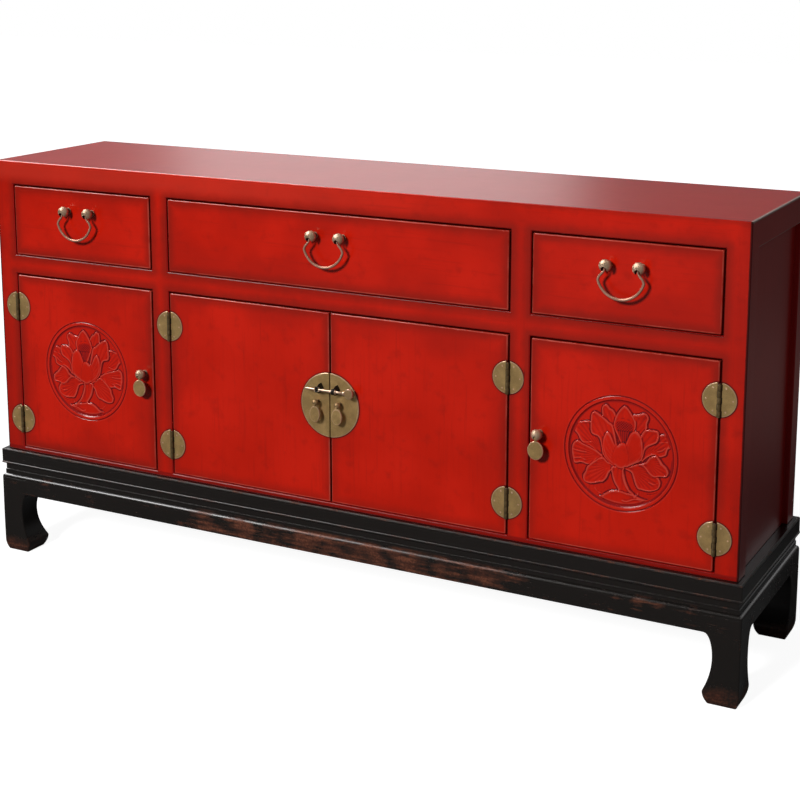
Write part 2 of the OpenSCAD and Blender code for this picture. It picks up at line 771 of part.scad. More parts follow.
// Aprons between the legs
module stand_aprons() color(BLACK) translate([0, middle_y, 0]) for (turn = [0, 180]) {
  rotate(turn) translate([0, -outer_y, 0]) apron(2 * (outer_x - leg_w - joint_gap));
  rotate(turn + 90) translate([0, -outer_x, 0]) apron(2 * (outer_y - leg_w - joint_gap));
}

module apron(l) translate([-l / 2, 0, 0]) rotate([90, 0, 90]) linear_extrude(l)
  polygon(concat(bead(), [[0, apron_z0], [apron_t, apron_z0], [apron_t, apron_z1]]));

// Outline of a leg: bead and heel on the outer side; toe, neck and shoulder on the inner
function heel(t) = [heel_in * pow(1 - t, 2), toe_z * t];
function toe(t) = [toe_w - (toe_w - sole_w) * pow(1 - t, 2), toe_z * t];
function ankle(t) = [neck_w + (toe_w - neck_w) * pow(1 - t, 2), toe_z + (neck_z - toe_z) * t];
function shoulder(t) = [leg_w - (leg_w - neck_w) * sqrt(1 - t * t),
                        neck_z + (apron_z0 - neck_z) * t];
function leg_outline() = concat(
  bead(),
  [for (i = [leg_steps:-1:0]) heel(i / leg_steps)],
  [for (i = [0:leg_steps]) toe(i / leg_steps)],
  [for (i = [1:leg_steps]) ankle(i / leg_steps)],
  [for (i = [1:leg_steps]) shoulder(i / leg_steps)],
  [[leg_w, apron_z1]]);

// A leg is the same outline seen from the front and from the side
module leg() intersection() {
  translate([0, leg_w + overcut, 0]) rotate([90, 0, 0])
    linear_extrude(leg_w + 2 * overcut) polygon(leg_outline());
  translate([-overcut, 0, 0]) rotate([90, 0, 90])
    linear_extrude(leg_w + 2 * overcut) polygon(leg_outline());
}

module stand_legs() color(BLACK) translate([0, middle_y, 0]) both_sides()
  for (flip = [0, 1]) mirror([0, flip, 0]) translate([-outer_x, -outer_y, 0]) leg();

top_board();
corner_posts();
front_top_rail();
front_middle_rails();
front_sill();
inner_stiles();
side_rails();
side_panels();
back_frame();
back_panels();
cupboard_floor();
partitions();
dust_boards();
drawer_runners();
drawer_guides();
door_stops();
hinge_frame_leaves();
hinge_pins();
stand_frame();
stand_waist();
stand_aprons();
stand_legs();
drawer_front(LEFT);  // left_drawer_front
drawer_box(LEFT);  // left_drawer_box
drawer_bottom(LEFT);  // left_drawer_bottom
pull_posts(LEFT);  // left_pull_posts
bail(LEFT);  // left_bail
drawer_front(CENTRE);  // centre_drawer_front
drawer_box(CENTRE);  // centre_drawer_box
drawer_bottom(CENTRE);  // centre_drawer_bottom
pull_posts(CENTRE);  // centre_pull_posts
bail(CENTRE);  // centre_bail
drawer_front(RIGHT);  // right_drawer_front
drawer_box(RIGHT);  // right_drawer_box
drawer_bottom(RIGHT);  // right_drawer_bottom
pull_posts(RIGHT);  // right_pull_posts
bail(RIGHT);  // right_bail
carved_door_panel(LEFT_DOOR);  // left_door_panel
door_battens(LEFT_DOOR);  // left_door_battens
door_hinge_leaves(LEFT_DOOR);  // left_door_hinge_leaves
side_door_post(LEFT_DOOR);  // left_door_post
side_door_drop(LEFT_DOOR);  // left_drop
door_panel(CENTRE_LEFT_DOOR);  // centre_left_door_panel
door_battens(CENTRE_LEFT_DOOR);  // centre_left_door_battens
door_hinge_leaves(CENTRE_LEFT_DOOR);  // centre_left_door_hinge_leaves
lock_plate(-1);  // left_lock_plate
lock_studs(-1);  // left_lock_studs
centre_drop(-1);  // centre_left_drop
door_panel(CENTRE_RIGHT_DOOR);  // centre_right_door_panel
door_battens(CENTRE_RIGHT_DOOR);  // centre_right_door_battens
door_hinge_leaves(CENTRE_RIGHT_DOOR);  // centre_right_door_hinge_leaves
lock_plate(1);  // right_lock_plate
lock_studs(1);  // right_lock_studs
centre_drop(1);  // centre_right_drop
lock_rod();
carved_door_panel(RIGHT_DOOR);  // right_door_panel
door_battens(RIGHT_DOOR);  // right_door_battens
door_hinge_leaves(RIGHT_DOOR);  // right_door_hinge_leaves
side_door_post(RIGHT_DOOR);  // right_door_post
side_door_drop(RIGHT_DOOR);  // right_drop
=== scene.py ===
"""Looks of a red-lacquered entryway cabinet on a black stand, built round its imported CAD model.
Shapes are worked out in mm, and make_piece turns them into metres."""

import bpy
import numpy as np
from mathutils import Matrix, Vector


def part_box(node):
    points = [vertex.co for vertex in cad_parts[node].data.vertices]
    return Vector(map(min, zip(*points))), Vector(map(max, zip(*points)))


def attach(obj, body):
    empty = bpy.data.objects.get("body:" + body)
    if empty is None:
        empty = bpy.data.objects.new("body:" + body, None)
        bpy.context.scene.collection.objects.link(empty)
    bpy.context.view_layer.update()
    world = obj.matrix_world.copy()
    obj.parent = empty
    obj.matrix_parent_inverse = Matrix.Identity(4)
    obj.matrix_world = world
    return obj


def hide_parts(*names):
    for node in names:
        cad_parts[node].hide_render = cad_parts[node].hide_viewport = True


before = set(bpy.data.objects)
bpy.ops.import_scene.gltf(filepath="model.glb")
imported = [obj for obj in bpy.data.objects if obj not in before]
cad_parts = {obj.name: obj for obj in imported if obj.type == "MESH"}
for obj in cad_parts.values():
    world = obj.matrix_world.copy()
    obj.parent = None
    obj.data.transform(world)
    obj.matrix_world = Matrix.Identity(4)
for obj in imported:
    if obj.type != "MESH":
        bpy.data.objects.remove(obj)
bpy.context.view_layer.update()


# The stand. Softwood under black lacquer: a mitred frame carries the case, and
# under it come a set-back waist with a thin lip, aprons with a rounded bead and
# four legs that narrow to an ankle and flare to a hoof foot, rubbed red-brown.


def node_box(node):
    """Lowest and highest corner of a CAD node, in mm."""
    return np.round(np.array(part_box(node)) * 1000, 2).tolist()


(_, stand_front, _), (stand_side, stand_back, APRON_TOP) = node_box("stand_legs")
STAND_HALF = stand_side, (stand_back - stand_front) / 2
STAND_MIDDLE = (stand_front + stand_back) / 2
FRAME_FOOT, STAND_TOP = (corner[2] for corner in node_box("stand_frame"))
APRON_FOOT = node_box("stand_aprons")[0][2]
TOE, NECK, LEG_STEP, LEG_WIDTH = 24.0, 88.0, 163.4, 67.0


def eased(outline, radii, steps=5, support=0.7):
    """A closed outline with round corners, and how rubbed each point is. Corner C between unit directions
    e1 (back) and e2 (on) becomes C + r*(1 - cos a)*e2 + r*(1 - sin a)*e1, a from 0 to 90 degrees, with one
    more point a little further out on each side, so that the flats stay flat."""
    corners, r = np.asarray(outline, float), np.asarray(radii, float)[:, None, None]
    e1, e2 = np.roll(corners, 1, axis=0) - corners, np.roll(corners, -1, axis=0) - corners
    e1, e2 = (e / np.linalg.norm(e, axis=1, keepdims=True) for e in (e1, e2))
    a = np.linspace(0, np.pi / 2, steps)[None, :, None]
    arc = corners[:, None] + r * (1 - np.cos(a)) * e2[:, None] + r * (1 - np.sin(a)) * e1[:, None]
    far = np.minimum(support, 0.4 * r[:, 0]) + r[:, 0]
    points = np.concatenate([(corners + far * e1)[:, None], arc, (corners + far * e2)[:, None]], axis=1)
    wear_and_painted_light = np.concatenate([[0], np.sin(2 * a.ravel()) ** 0.5 * 0.7 + 0.3, [0]])
    return points.reshape(-1, 2), np.tile(wear_and_painted_light, len(corners))


def rectangles(profile, half, corner, steps=5):
    """Round-cornered rectangles, one for each profile point (inset, level): half sizes half - inset,
    corners a quarter circle of radius corner - inset. Rows of points (across, along, level)."""
    inset, level = np.asarray(profile, float).T[:, :, None]
    turn = (np.arange(4)[:, None] * np.pi / 2 + np.linspace(0, np.pi / 2, steps)).ravel()
    side = np.repeat(np.array([(1, 1), (-1, 1), (-1, -1), (1, -1)]), steps, axis=0)
    radius = np.maximum(corner - inset, 0.15)
    across = side[:, 0] * (half[0] - inset - radius) + radius * np.cos(turn)
    along = side[:, 1] * (half[1] - inset - radius) + radius * np.sin(turn)
    return np.stack([across, along, level + 0 * across], axis=-1)


def shell(rows, ring=False, wear_and_painted_light=0.0):
    """Closed rows of points joined by quads into one skin: capped at both ends, or the last row joined to
    the first. rub is one number, one for each row, or one for each point."""
    count, around = rows.shape[:2]
    index = np.arange(count * around).reshape(count, around)
    turn = np.concatenate([index, index[:1]]) if ring else index
    on = np.roll(turn, -1, axis=1)
    quads = np.stack([turn[:-1], on[:-1], on[1:], turn[1:]], axis=-1).reshape(-1, 4)
    wear_and_painted_light = np.broadcast_to(np.reshape(wear_and_painted_light, (-1, 1)) if np.ndim(wear_and_painted_light) == 1 else wear_and_painted_light, (count, around))
    return rows.reshape(-1, 3), quads, [] if ring else [index[0][::-1], index[-1]], wear_and_painted_light.ravel()


def make_piece(name, shells, body, finish, *nodes):
    """One mesh from closed skins (points in mm, quads, caps, rub), in a finish (the record's slot, which is not
    used, and material), standing for some CAD nodes. The sign of a skin's volume, the sum of a . (b x c) over
    its triangles, tells whether it is inside out, and such a skin is turned round."""
    points, faces, wear_and_light_values, start = [], [], [], 0
    for spots, quads, caps, wear_and_painted_light in shells:
        fans = [np.stack([np.full(len(c) - 2, c[0]), c[1:-1], c[2:]], axis=1) for c in caps]
        a, b, c = spots[np.concatenate([quads[:, :3], quads[:, [0, 2, 3]]] + fans)].transpose(1, 0, 2)
        if np.sum(a * np.cross(b, c)) < 0:
            quads, caps = quads[:, ::-1], [cap[::-1] for cap in caps]
        faces += (quads + start).tolist() + [(cap + start).tolist() for cap in caps]
        points.append(spots)
        wear_and_light_values.append(wear_and_painted_light)
        start += len(spots)
    mesh = bpy.data.meshes.new(name)
    mesh.from_pydata((np.concatenate(points) / 1000).tolist(), [], faces)
    mesh.polygons.foreach_set("use_smooth", np.ones(len(mesh.polygons), bool))
    # The attribute holds wear, and on the carving and some brass parts a painted highlight and painted shade
    rubbed = mesh.attributes.new("wear_and_painted_light", "FLOAT", "POINT")
    rubbed.data.foreach_set("value", np.concatenate(wear_and_light_values).astype(np.float32))
    slot, material = finish
    mesh.materials.append(material)
    piece = bpy.data.objects.new(name, mesh)
    bpy.context.scene.collection.objects.link(piece)
    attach(piece, body)
    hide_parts(*nodes)
    return piece


class Value:
    """A shader socket in an expression: each operator adds a Math node, and plain numbers stay numbers."""

    def __init__(self, paint, socket):
        self.paint, self.socket = paint, socket

    def math(self, operation, *terms):
        return self.paint.node("ShaderNodeMath", {"operation": operation}, dict(enumerate(terms)))

    def __add__(self, other):
        return self.math("ADD", self, other)

    def __sub__(self, other):
        return self.math("SUBTRACT", self, other)

    def __rsub__(self, other):
        return self.math("SUBTRACT", other, self)

    def __mul__(self, other):
        return self.math("MULTIPLY", self, other)

    def __pow__(self, other):
        return self.math("POWER", self, other)

    def __abs__(self):
        return self.math("ABSOLUTE", self)

    __radd__, __rmul__ = __add__, __mul__

    def fraction(self):
        return self.math("FRACT", self)

    def least(self, other):
        return self.math("MINIMUM", self, other)

    def most(self, other):
        return self.math("MAXIMUM", self, other)

    def step(self, low, high):
        """0 below low, 1 above high, smooth between; falls instead where low is above high."""
        if low > high:
            return 1 - self.step(high, low)
        return self.paint.node("ShaderNodeMapRange", {"interpolation_type": "SMOOTHSTEP"},
                               {0: self, 1: low, 2: high})

    def out(self, name):
        """Another output of the same node, by its name or its place."""
        return Value(self.paint, self.socket.node.outputs[name])


class Paint:
    """The node tree of one finish."""

    def __init__(self, name, tree=None):
        self.material = None if tree else bpy.data.materials.new(name)
        if not tree:
            self.material.use_nodes = True
            tree = self.material.node_tree
        self.tree = tree
        tree.nodes.clear()

    def node(self, kind, settings=None, inputs=None):
        """Any node: its settings first, then the values or links of its sockets."""
        node = self.tree.nodes.new(kind)
        for key, value in (settings or {}).items():
            setattr(node, key, value)
        for key, value in (inputs or {}).items():
            if isinstance(value, Value):
                self.tree.links.new(value.socket, node.inputs[key])
            elif isinstance(value, tuple) and node.inputs[key].type == "RGBA":
                node.inputs[key].default_value = (*value, 1)
            else:
                node.inputs[key].default_value = value
        return Value(self, next(s for s in node.outputs if s.enabled))

    def vector(self, operation, first, second):
        """Maths on vectors, and SCALE by a number."""
        other = "Scale" if operation == "SCALE" else 1
        return self.node("ShaderNodeVectorMath", {"operation": operation}, {0: first, other: second})

    def place(self):
        """The point on the piece, in the row frame at rest, in mm."""
        return self.vector("SCALE", self.node("ShaderNodeTexCoord").out("Object"), 1000.0)

    def axes(self, spot):
        apart = self.node("ShaderNodeSeparateXYZ", None, {0: spot})
        return apart.out("X"), apart.out("Y"), apart.out("Z")

    def noise(self, spot, size, detail=2.0, stretch=None, rough=0.5):
        """Noise with lumps about size mm wide, wider by stretch along each axis."""
        if stretch:
            spot = self.vector("DIVIDE", spot, stretch)
        return self.node("ShaderNodeTexNoise", None,
                         {"Vector": spot, "Scale": 1.0 / size, "Detail": detail, "Roughness": rough})

    def attribute(self, name, output="Fac"):
        return self.node("ShaderNodeAttribute", {"attribute_name": name}).out(output)

    def mix(self, share, first, second):
        """The first colour, turning into the second as share goes from 0 to 1."""
        inputs = {"Factor": share, 6: first, 7: second}
        return self.node("ShaderNodeMix", {"data_type": "RGBA"}, inputs).out(2)

    def coats(self, base, layers):
        """Thin coats over a base colour, one after another: (how much of it shows, its colour)."""
        for share, colour in layers:
            base = self.mix(share, base, colour)
        return base

    def bump(self, height, depth, strength):
        """The normal over a relief of that height, 0 to 1, and that depth in mm."""
        return self.node("ShaderNodeBump", None,
                         {"Height": height, "Distance": depth / 1000, "Strength": strength})

    def finish(self, **sockets):
        named = {key.replace("_", " ").title().replace("Ior", "IOR"): value for key, value in sockets.items()}
        return self.show(self.node("ShaderNodeBsdfPrincipled", None, named))

    def show(self, surface, end="ShaderNodeOutputMaterial"):
        self.tree.links.new(surface.socket, self.tree.nodes.new(end).inputs["Surface"])
        return self.material


def black_lacquer():
    """Black lacquer over a red-brown ground. The ground shows along rubbed edges where the noise is high,
    in long streaks on the aprons, most of all near their middle and by the right front leg, and at the
    feet."""
    paint = Paint("black_lacquer")
    spot = paint.place()
    x, _, z = paint.axes(spot)
    patch = paint.noise(spot, 45, 4, rough=0.65)
    fine = paint.noise(spot, 4, 3, rough=0.7)
    drawn = paint.noise(spot, 8, 4, stretch=(9.0, 1.0, 1.0), rough=0.62)
    wear_and_painted_light, dust = paint.attribute("wear_and_painted_light"), paint.noise(spot, 300, 3)
    lip = z.step(FRAME_FOOT - 8, FRAME_FOOT)
    edge = wear_and_painted_light * (patch * 0.75 + fine * 0.35 + lip * 0.10).step(0.62, 0.86)
    bare = x.step(-420, -270) * x.step(440, 300)
    bare = bare + x.step(560, 640) * x.step(745, 715) * z.step(150, 166) * 0.8
    apron = z.step(APRON_TOP + 6, APRON_TOP - 1) * z.step(APRON_FOOT - 8, APRON_FOOT - 1)
    apron = apron * (drawn * 0.5 + patch * 0.5 + bare * 0.15).step(0.55, 0.76)
    foot = (z - patch * 30 - fine * 10).step(20, -14) * (fine * 0.5 + patch).step(0.45, 0.95)
    worn = edge.most(foot * 0.75).most(apron * 0.85)
    browned = (fine * 0.6 + drawn * 0.4).step(0.40, 0.66)
    ground = paint.mix(browned, (0.050, 0.014, 0.009), (0.200, 0.070, 0.038))
    black = paint.mix(dust, (0.0085, 0.0070, 0.0060), (0.0125, 0.0105, 0.0095))
    above = z.step(APRON_TOP + 1, APRON_TOP + 8)
    return paint.finish(base_color=paint.mix(worn, black, ground), specular_ior_level=0.45,
                        roughness=0.22 + dust * 0.08 + worn * 0.3 + wear_and_painted_light * above * 0.35,
                        normal=paint.bump(fine * 0.3 + paint.noise(spot, 30, 2), 0.10, 0.4))


BLACK = ("black_lacquer", black_lacquer())
# Profiles of (inset from the stand's edge, height), the radii of their corners, and the points to a corner
MOULDINGS = {
    "frame": ([(0, FRAME_FOOT), (0, FRAME_FOOT + 2.6), (1.1, FRAME_FOOT + 3.4), (1.1, STAND_TOP),
               (70, STAND_TOP), (70, FRAME_FOOT)], [0.8, 0.5, 0.4, 3, 2, 1], 5),
    "waist": ([(25, APRON_TOP), (5.8, APRON_TOP), (5.8, APRON_TOP + 9), (7, APRON_TOP + 9.8), (7, FRAME_FOOT),
               (25, FRAME_FOOT)], [0.6, 0.8, 0.5, 0.4, 0.4, 0.6], 5),
    "apron": ([(24, APRON_FOOT), (0.05, APRON_FOOT), (0.05, APRON_TOP), (24, APRON_TOP)], [1, 1.6, 8, 1], 9)}


def moulding(outline, radii, steps):
    """A moulding: its profile carried round the stand, the corners mitred."""
    profile, wear_and_painted_light = eased(outline, radii, steps)
    return shell(rectangles(profile, STAND_HALF, 3.0) + (0, STAND_MIDDLE, 0), ring=True, wear_and_painted_light=wear_and_painted_light)


def leg_faces(z):
    """Outer and inner face of a leg at height z, in from the stand's edge. Heel, toe and ankle are
    parabolas, such as inner = 50 + 16 * (1 - t)^2 with t from 0 at the toe to 1 at the neck; the shoulder
    is a quarter of an ellipse, and above it the leg is cut back behind the waist."""
    toe, ankle, shoulder = z / TOE, (z - TOE) / (NECK - TOE), (z - NECK) / (APRON_FOOT - NECK)
    outer = np.where(z > LEG_STEP, 9.0, 6 * np.clip(1 - toe, 0, 1) ** 2)
    inner = np.select([z <= TOE, z <= NECK, z < APRON_FOOT],
                      [66 - 9 * (1 - toe) ** 2, 50 + 16 * (1 - ankle) ** 2,
                       LEG_WIDTH - 17 * np.sqrt(np.clip(1 - shoulder ** 2, 0, 1))], LEG_WIDTH)
    return outer, inner


def leg(side_x, side_y):
    """A leg: at each height a square, p = outer + (inner - outer) * s, where s runs round a unit square
    with eased corners."""
    square, wear_and_painted_light = eased([(0, 0), (1, 0), (1, 1), (0, 1)], [0.045] * 4, support=0.06)
    z = np.concatenate([[0, 0.8], np.linspace(3, NECK, 26),
                        NECK + (APRON_FOOT - NECK) * np.sin(np.linspace(0.1, np.pi / 2, 14)),
                        [150, LEG_STEP - 0.5, LEG_STEP - 0.1, LEG_STEP + 0.1, APRON_TOP - 0.5]])
    outer, inner = leg_faces(z)
    sole = np.where(z == 0, 1.2, 0)
    outer, inner = (outer + sole)[:, None], (inner - sole)[:, None]
    a, b = (outer + (inner - outer) * square[:, k] for k in (0, 1))
    rows = np.stack([side_x * (STAND_HALF[0] - a), STAND_MIDDLE + side_y * (STAND_HALF[1] - b),
                     z[:, None] + 0 * a], axis=-1)
    return shell(rows, wear_and_painted_light=np.broadcast_to(wear_and_painted_light, a.shape))


for part, node in (("frame", "stand_frame"), ("waist", "stand_waist"), ("apron", "stand_aprons")):
    make_piece(f"stand_{part}_moulding", [moulding(*MOULDINGS[part])], "case", BLACK, node)
make_piece("stand_hoof_legs", [leg(sx, sy) for sx in (-1, 1) for sy in (-1, 1)], "case", BLACK, "stand_legs")


# The case. Posts, rails, stiles, sill and top board of softwood, mortised together and
# flushed off before lacquering, so one unbroken skin of red lacquer runs over the joints.

(_, FRONT, BOARD_FOOT), (HALF_WIDTH, BACK, CASE_TOP) = node_box("top_board")
POST_IN, RAIL_BACK, DOOR_FOOT = node_box("front_sill")[1]
DOOR_HEAD, DRAWER_FOOT = (corner[2] for corner in node_box("front_middle_rails"))
DRAWER_HEAD = node_box("front_top_rail")[0][2]
POST = HALF_WIDTH - POST_IN
SIDE_RAIL_IN, SIDE_RAIL_FOOT, SIDE_SILL = 772.0, 800.0, 30.0
SEAM, SEAM_FOOT = 3.0, 1.7
LEAF_RIGHT, LEAF_BACK, _ = node_box("centre_drawer_front")[1]
STILE_IN, STILE_OUT = LEAF_RIGHT + SEAM, node_box("inner_stiles")[1][0]
BAYS = {"left": (-POST_IN, -STILE_OUT), "centre": (-STILE_IN, STILE_IN), "right": (STILE_OUT, POST_IN)}
# How far out the seams of the hinges lie, the hinge plates' radius and heights, and those of the lock plate
OUTER_SEAM, INNER_SEAM = POST_IN - SEAM / 2, STILE_IN - SEAM / 2
HINGE_RADIUS, HINGE_LOW, HINGE_HIGH, HINGE_HIGH_RIGHT = 30.0, 299.0, 544.0, 533.0
PLATE_RADIUS, PLATE_HEIGHT = 63.0, 431.0


def joined_boards(boards):
    """The skin of several boards glued into one. The planes of all the boards cut space into cells; a
    cell is wood if its middle lies in a board, and a wall between a cell of wood and one of air is a
    face. Each board is (low corner, high corner, direction of its grain), and every face keeps the grain
    of its board."""
    low, high, grain = (np.array([b[k] for b in boards], float) for k in range(3))
    planes = [np.unique(np.concatenate([low[:, k], high[:, k]])) for k in range(3)]
    middle = np.stack(np.meshgrid(*[(p[1:] + p[:-1]) / 2 for p in planes], indexing="ij"), axis=-1)
    inside = ((middle[..., None, :] > low) & (middle[..., None, :] < high)).all(-1)
    wood, owner = np.pad(inside.any(-1), 1), np.pad(inside.argmax(-1), 1)
    shape = [len(p) for p in planes]
    faces, along = [], []
    for k in range(3):
        (here, mine), (there, other) = ([np.take(cells, range(start, start + shape[k]), axis=k)
                                         for cells in (wood, owner)] for start in (0, 1))
        for full, empty, who, way in ((here, there, mine, 1), (there, here, other, -1)):
            cell = np.argwhere(full & ~empty)
            first = cell - np.array([0 if n == k else 1 for n in range(3)])
            u, v = np.eye(3, dtype=int)[[(k + 1) % 3, (k + 2) % 3]]
            ring = np.stack([first, first + u, first + u + v, first + v], axis=1)[:, ::way]
            faces.append(np.ravel_multi_index(ring.transpose(2, 0, 1), shape))
            along.append(grain[who[tuple(cell.T)]])
    used, faces = np.unique(np.concatenate(faces), return_inverse=True)
    spots = np.stack(np.unravel_index(used, shape), axis=-1)
    spots = np.stack([planes[k][spots[:, k]] for k in range(3)], axis=-1)
    return (spots, faces.reshape(-1, 4), [], np.zeros(len(spots))), np.concatenate(along)


def red_lacquer(front=True):
    """Red lacquer brushed thick and rubbed half glossy, under a dark glaze that lies along edges and, mixed
    with painted shade, in the carving's hollows, whose ridges carry a painted highlight. On the front the
    glaze follows the seams: gap is the distance to the nearest drawer or door edge, hypot(max(dx, 0),
    max(dz, 0)) on the frame and -max(dx, dz) on a leaf, where dx and dz are signed distances. It thins towards
    the foot of all doors but the left one, and, with some painted contact shadow, rings the hinges and the
    lock. The other faces of the case, top and sides, are a little duller and have no relief."""
    paint = Paint("red_lacquer_front" if front else "red_lacquer_boards")
    spot = paint.place()
    x, y, z = paint.axes(spot)
    side = abs(x)
    grain = paint.attribute("along", "Vector")
    run = paint.vector("DOT_PRODUCT", spot, grain).out("Value")
    drawn = paint.vector("SUBTRACT", spot, paint.vector("SCALE", grain, run * 0.955))
    clouds = paint.noise(spot, 150, 3)
    streaks = paint.noise(drawn, 5.5, 4, rough=0.6)
    wave = paint.noise(spot, 28, 3, rough=0.6)
    wear_and_painted_light = paint.attribute("wear_and_painted_light")
    deep, black = (0.300, 0.0075, 0.0030), (0.012, 0.0030, 0.0026)
    if front:
        reds, (dull, bright, wavy) = [(0.475, 0.0085, 0.0014), (0.560, 0.0115, 0.0030)], (0.5, 0.22, 0.45)
    else:
        reds, (dull, bright, wavy) = [(0.445, 0.0080, 0.0062), (0.480, 0.0100, 0.0070)], (0.15, 0.06, 0.15)
    base = paint.coats(paint.mix(clouds.step(0.3, 0.72), *reds), [
        (streaks.step(0.52, 0.80) * dull, deep), (streaks.step(0.44, 0.22) * bright, (0.560, 0.018, 0.006)),
        (wave.step(0.50, 0.78) * wavy, deep)])
    if front:
        dx = (side - STILE_IN).least((side - POST_IN).most(STILE_OUT - side))
        dz = (z - DRAWER_HEAD).most(DRAWER_FOOT - z).least((z - DOOR_HEAD).most(DOOR_FOOT - z))
        out = (dx.most(0) ** 2 + dz.most(0) ** 2) ** 0.5
        within = (dx * -1).least(dz * -1).least(side + SEAM / 2 + (z - DOOR_HEAD).step(0, 5) * 400)
        arris = within - SEAM
        gap = out.most(arris)
        uneven = (wave - 0.5) * 9 + (streaks - 0.5) * 4
        kept = z.step(290, 430).most(x.step(-380, -440))
        upper = HINGE_HIGH - x.step(300, 301) * x.step(400, 399) * (HINGE_HIGH - HINGE_HIGH_RIGHT)
        across = abs(side - OUTER_SEAM).least(abs(side - INNER_SEAM))
        along = abs(z - HINGE_LOW).least(abs(z - upper))
        lock = (x ** 2 + (z - PLATE_HEIGHT) ** 2) ** 0.5 - PLATE_RADIUS
        plates = ((across ** 2 + along ** 2) ** 0.5 - HINGE_RADIUS).least(lock)
        corner = (side + uneven * 0.15).step(HALF_WIDTH - 4.4, HALF_WIDTH - 2.4)
        wide = (gap + (clouds - 0.5) * 190 + uneven * 3).step(62, 0)
        # A painted sheen on the top rail, strongest towards the left
        painted_rail_sheen = x.step(450, -250) * (z + uneven).step(DRAWER_HEAD - 2, BOARD_FOOT - 4)
        dark_rim = x.step(0, 500) * (z + uneven).step(BOARD_FOOT + 6, CASE_TOP - 1)
        # Glaze in a wide and a narrow band along the seams, painted shade in them and a painted highlight on
        # the leaves' arrises beside them; then the sill, the outer edges, the top rail and the rim of the top
        # board; then the hinges and the lock
        coats = [
            (wide * (kept * 0.28 + 0.12), (0.310, 0.0080, 0.0036)),
            ((gap + uneven * 1.8).step(22, 1) * (kept * 0.20 + 0.40), (0.180, 0.0085, 0.0042)),
            ((gap + uneven * 0.2).step(2.7, 0.5) * arris.step(0.4, -0.2) * 0.8, black),
            (abs(arris - 1.5).step(1.5, 0.4) * (wave * 0.6 + clouds * 0.4).step(0.30, 0.66) * 0.38,
             (0.640, 0.150, 0.105)),
            # Painted shade: the sill strip below the doors darkened
            (z.step(DOOR_FOOT + 3, DOOR_FOOT - 1) * 0.75, (0.170, 0.0040, 0.0030)),
            ((side + uneven * 2).step(POST_IN + 9, HALF_WIDTH) * 0.42, (0.210, 0.0060, 0.0035)),
            (painted_rail_sheen * 0.5, (0.520, 0.036, 0.020)),
            (dark_rim * 0.45, (0.210, 0.0100, 0.0060)),
            # A dark halo round the hinges and the lock, partly grime and partly painted contact shadow
            (plates.step(8, 0) * 0.35, (0.200, 0.0100, 0.0050)),
            ((plates + uneven * 0.1).step(3.0, 0.6) * 0.8, black)]
        sockets = {"roughness": 0.18 + wave * 0.05 + streaks * 0.06,
                   "normal": paint.bump(streaks * 0.55 + wave * 0.8, 0.08, 0.5)}
    else:
        corner = (y + wave * 3).step(FRONT + 6, FRONT + 3) * side.step(HALF_WIDTH - 11, HALF_WIDTH - 9)
        rim = side.step(HALF_WIDTH - 5, HALF_WIDTH - 2.5) * z.step(CASE_TOP - 4.5, CASE_TOP - 2.2)
        # Painted shade, the sides darker towards the bottom, and a painted highlight along the top board's side
        # edges
        coats = [(z.step(560, 270) * side.step(770, 780) * 0.55, (0.170, 0.0040, 0.0030)),
                 (rim * wave.step(0.26, 0.42), (0.480, 0.330, 0.280))]
        # Under 0.274 the denoiser leaves red specks on boards that are seen at a low angle
        sockets = {"roughness": 0.276 + wave * 0.02}
    # The case's corners near black; then, in the carving, painted shade mixed with glaze in the hollows and a
    # painted highlight on the ridges
    coats += [(corner * 0.9, black), ((wear_and_painted_light * -1).most(0), (0.072, 0.0042, 0.0080)),
              (wear_and_painted_light.most(0), (0.560, 0.100, 0.070))]
    if not front:
        # The lower edge of the side's top rail, painted with a broken pale line
        edge = z.step(SIDE_RAIL_FOOT - 1, SIDE_RAIL_FOOT) * z.step(SIDE_RAIL_FOOT + 3, SIDE_RAIL_FOOT + 1.4)
        edge = edge * side.step(HALF_WIDTH - 2, HALF_WIDTH - 1)
        edge = edge * y.step(FRONT + POST - 1.5, FRONT + POST + 1.5)
        coats.append((edge * wave.step(0.25, 0.5) * 0.75, (0.400, 0.220, 0.180)))
    return paint.finish(base_color=paint.coats(base, coats), specular_ior_level=0.36, **sockets)


RED_FRONT, RED_BOARDS = (("red_lacquer", red_lacquer(front)) for front in (True, False))
LONG, DEEP, UPRIGHT = (1, 0, 0), (0, 1, 0), (0, 0, 1)
(_, panel_front, _), (PANEL_OUT, panel_back, PANEL_TOP) = node_box("side_panels")
PANEL_IN = PANEL_OUT - 10


def lay_grain(piece, along):
    """The direction of the grain, one for the whole piece or one for each face."""
    values = np.broadcast_to(np.asarray(along, np.float32), (len(piece.data.polygons), 3))
    piece.data.attributes.new("along", "FLOAT_VECTOR", "FACE").data.foreach_set("vector", values.ravel())


def both_sides(a, b):
    """The stretch from a to b on the left and on the right, low end first."""
    return sorted((-a, -b)), sorted((a, b))


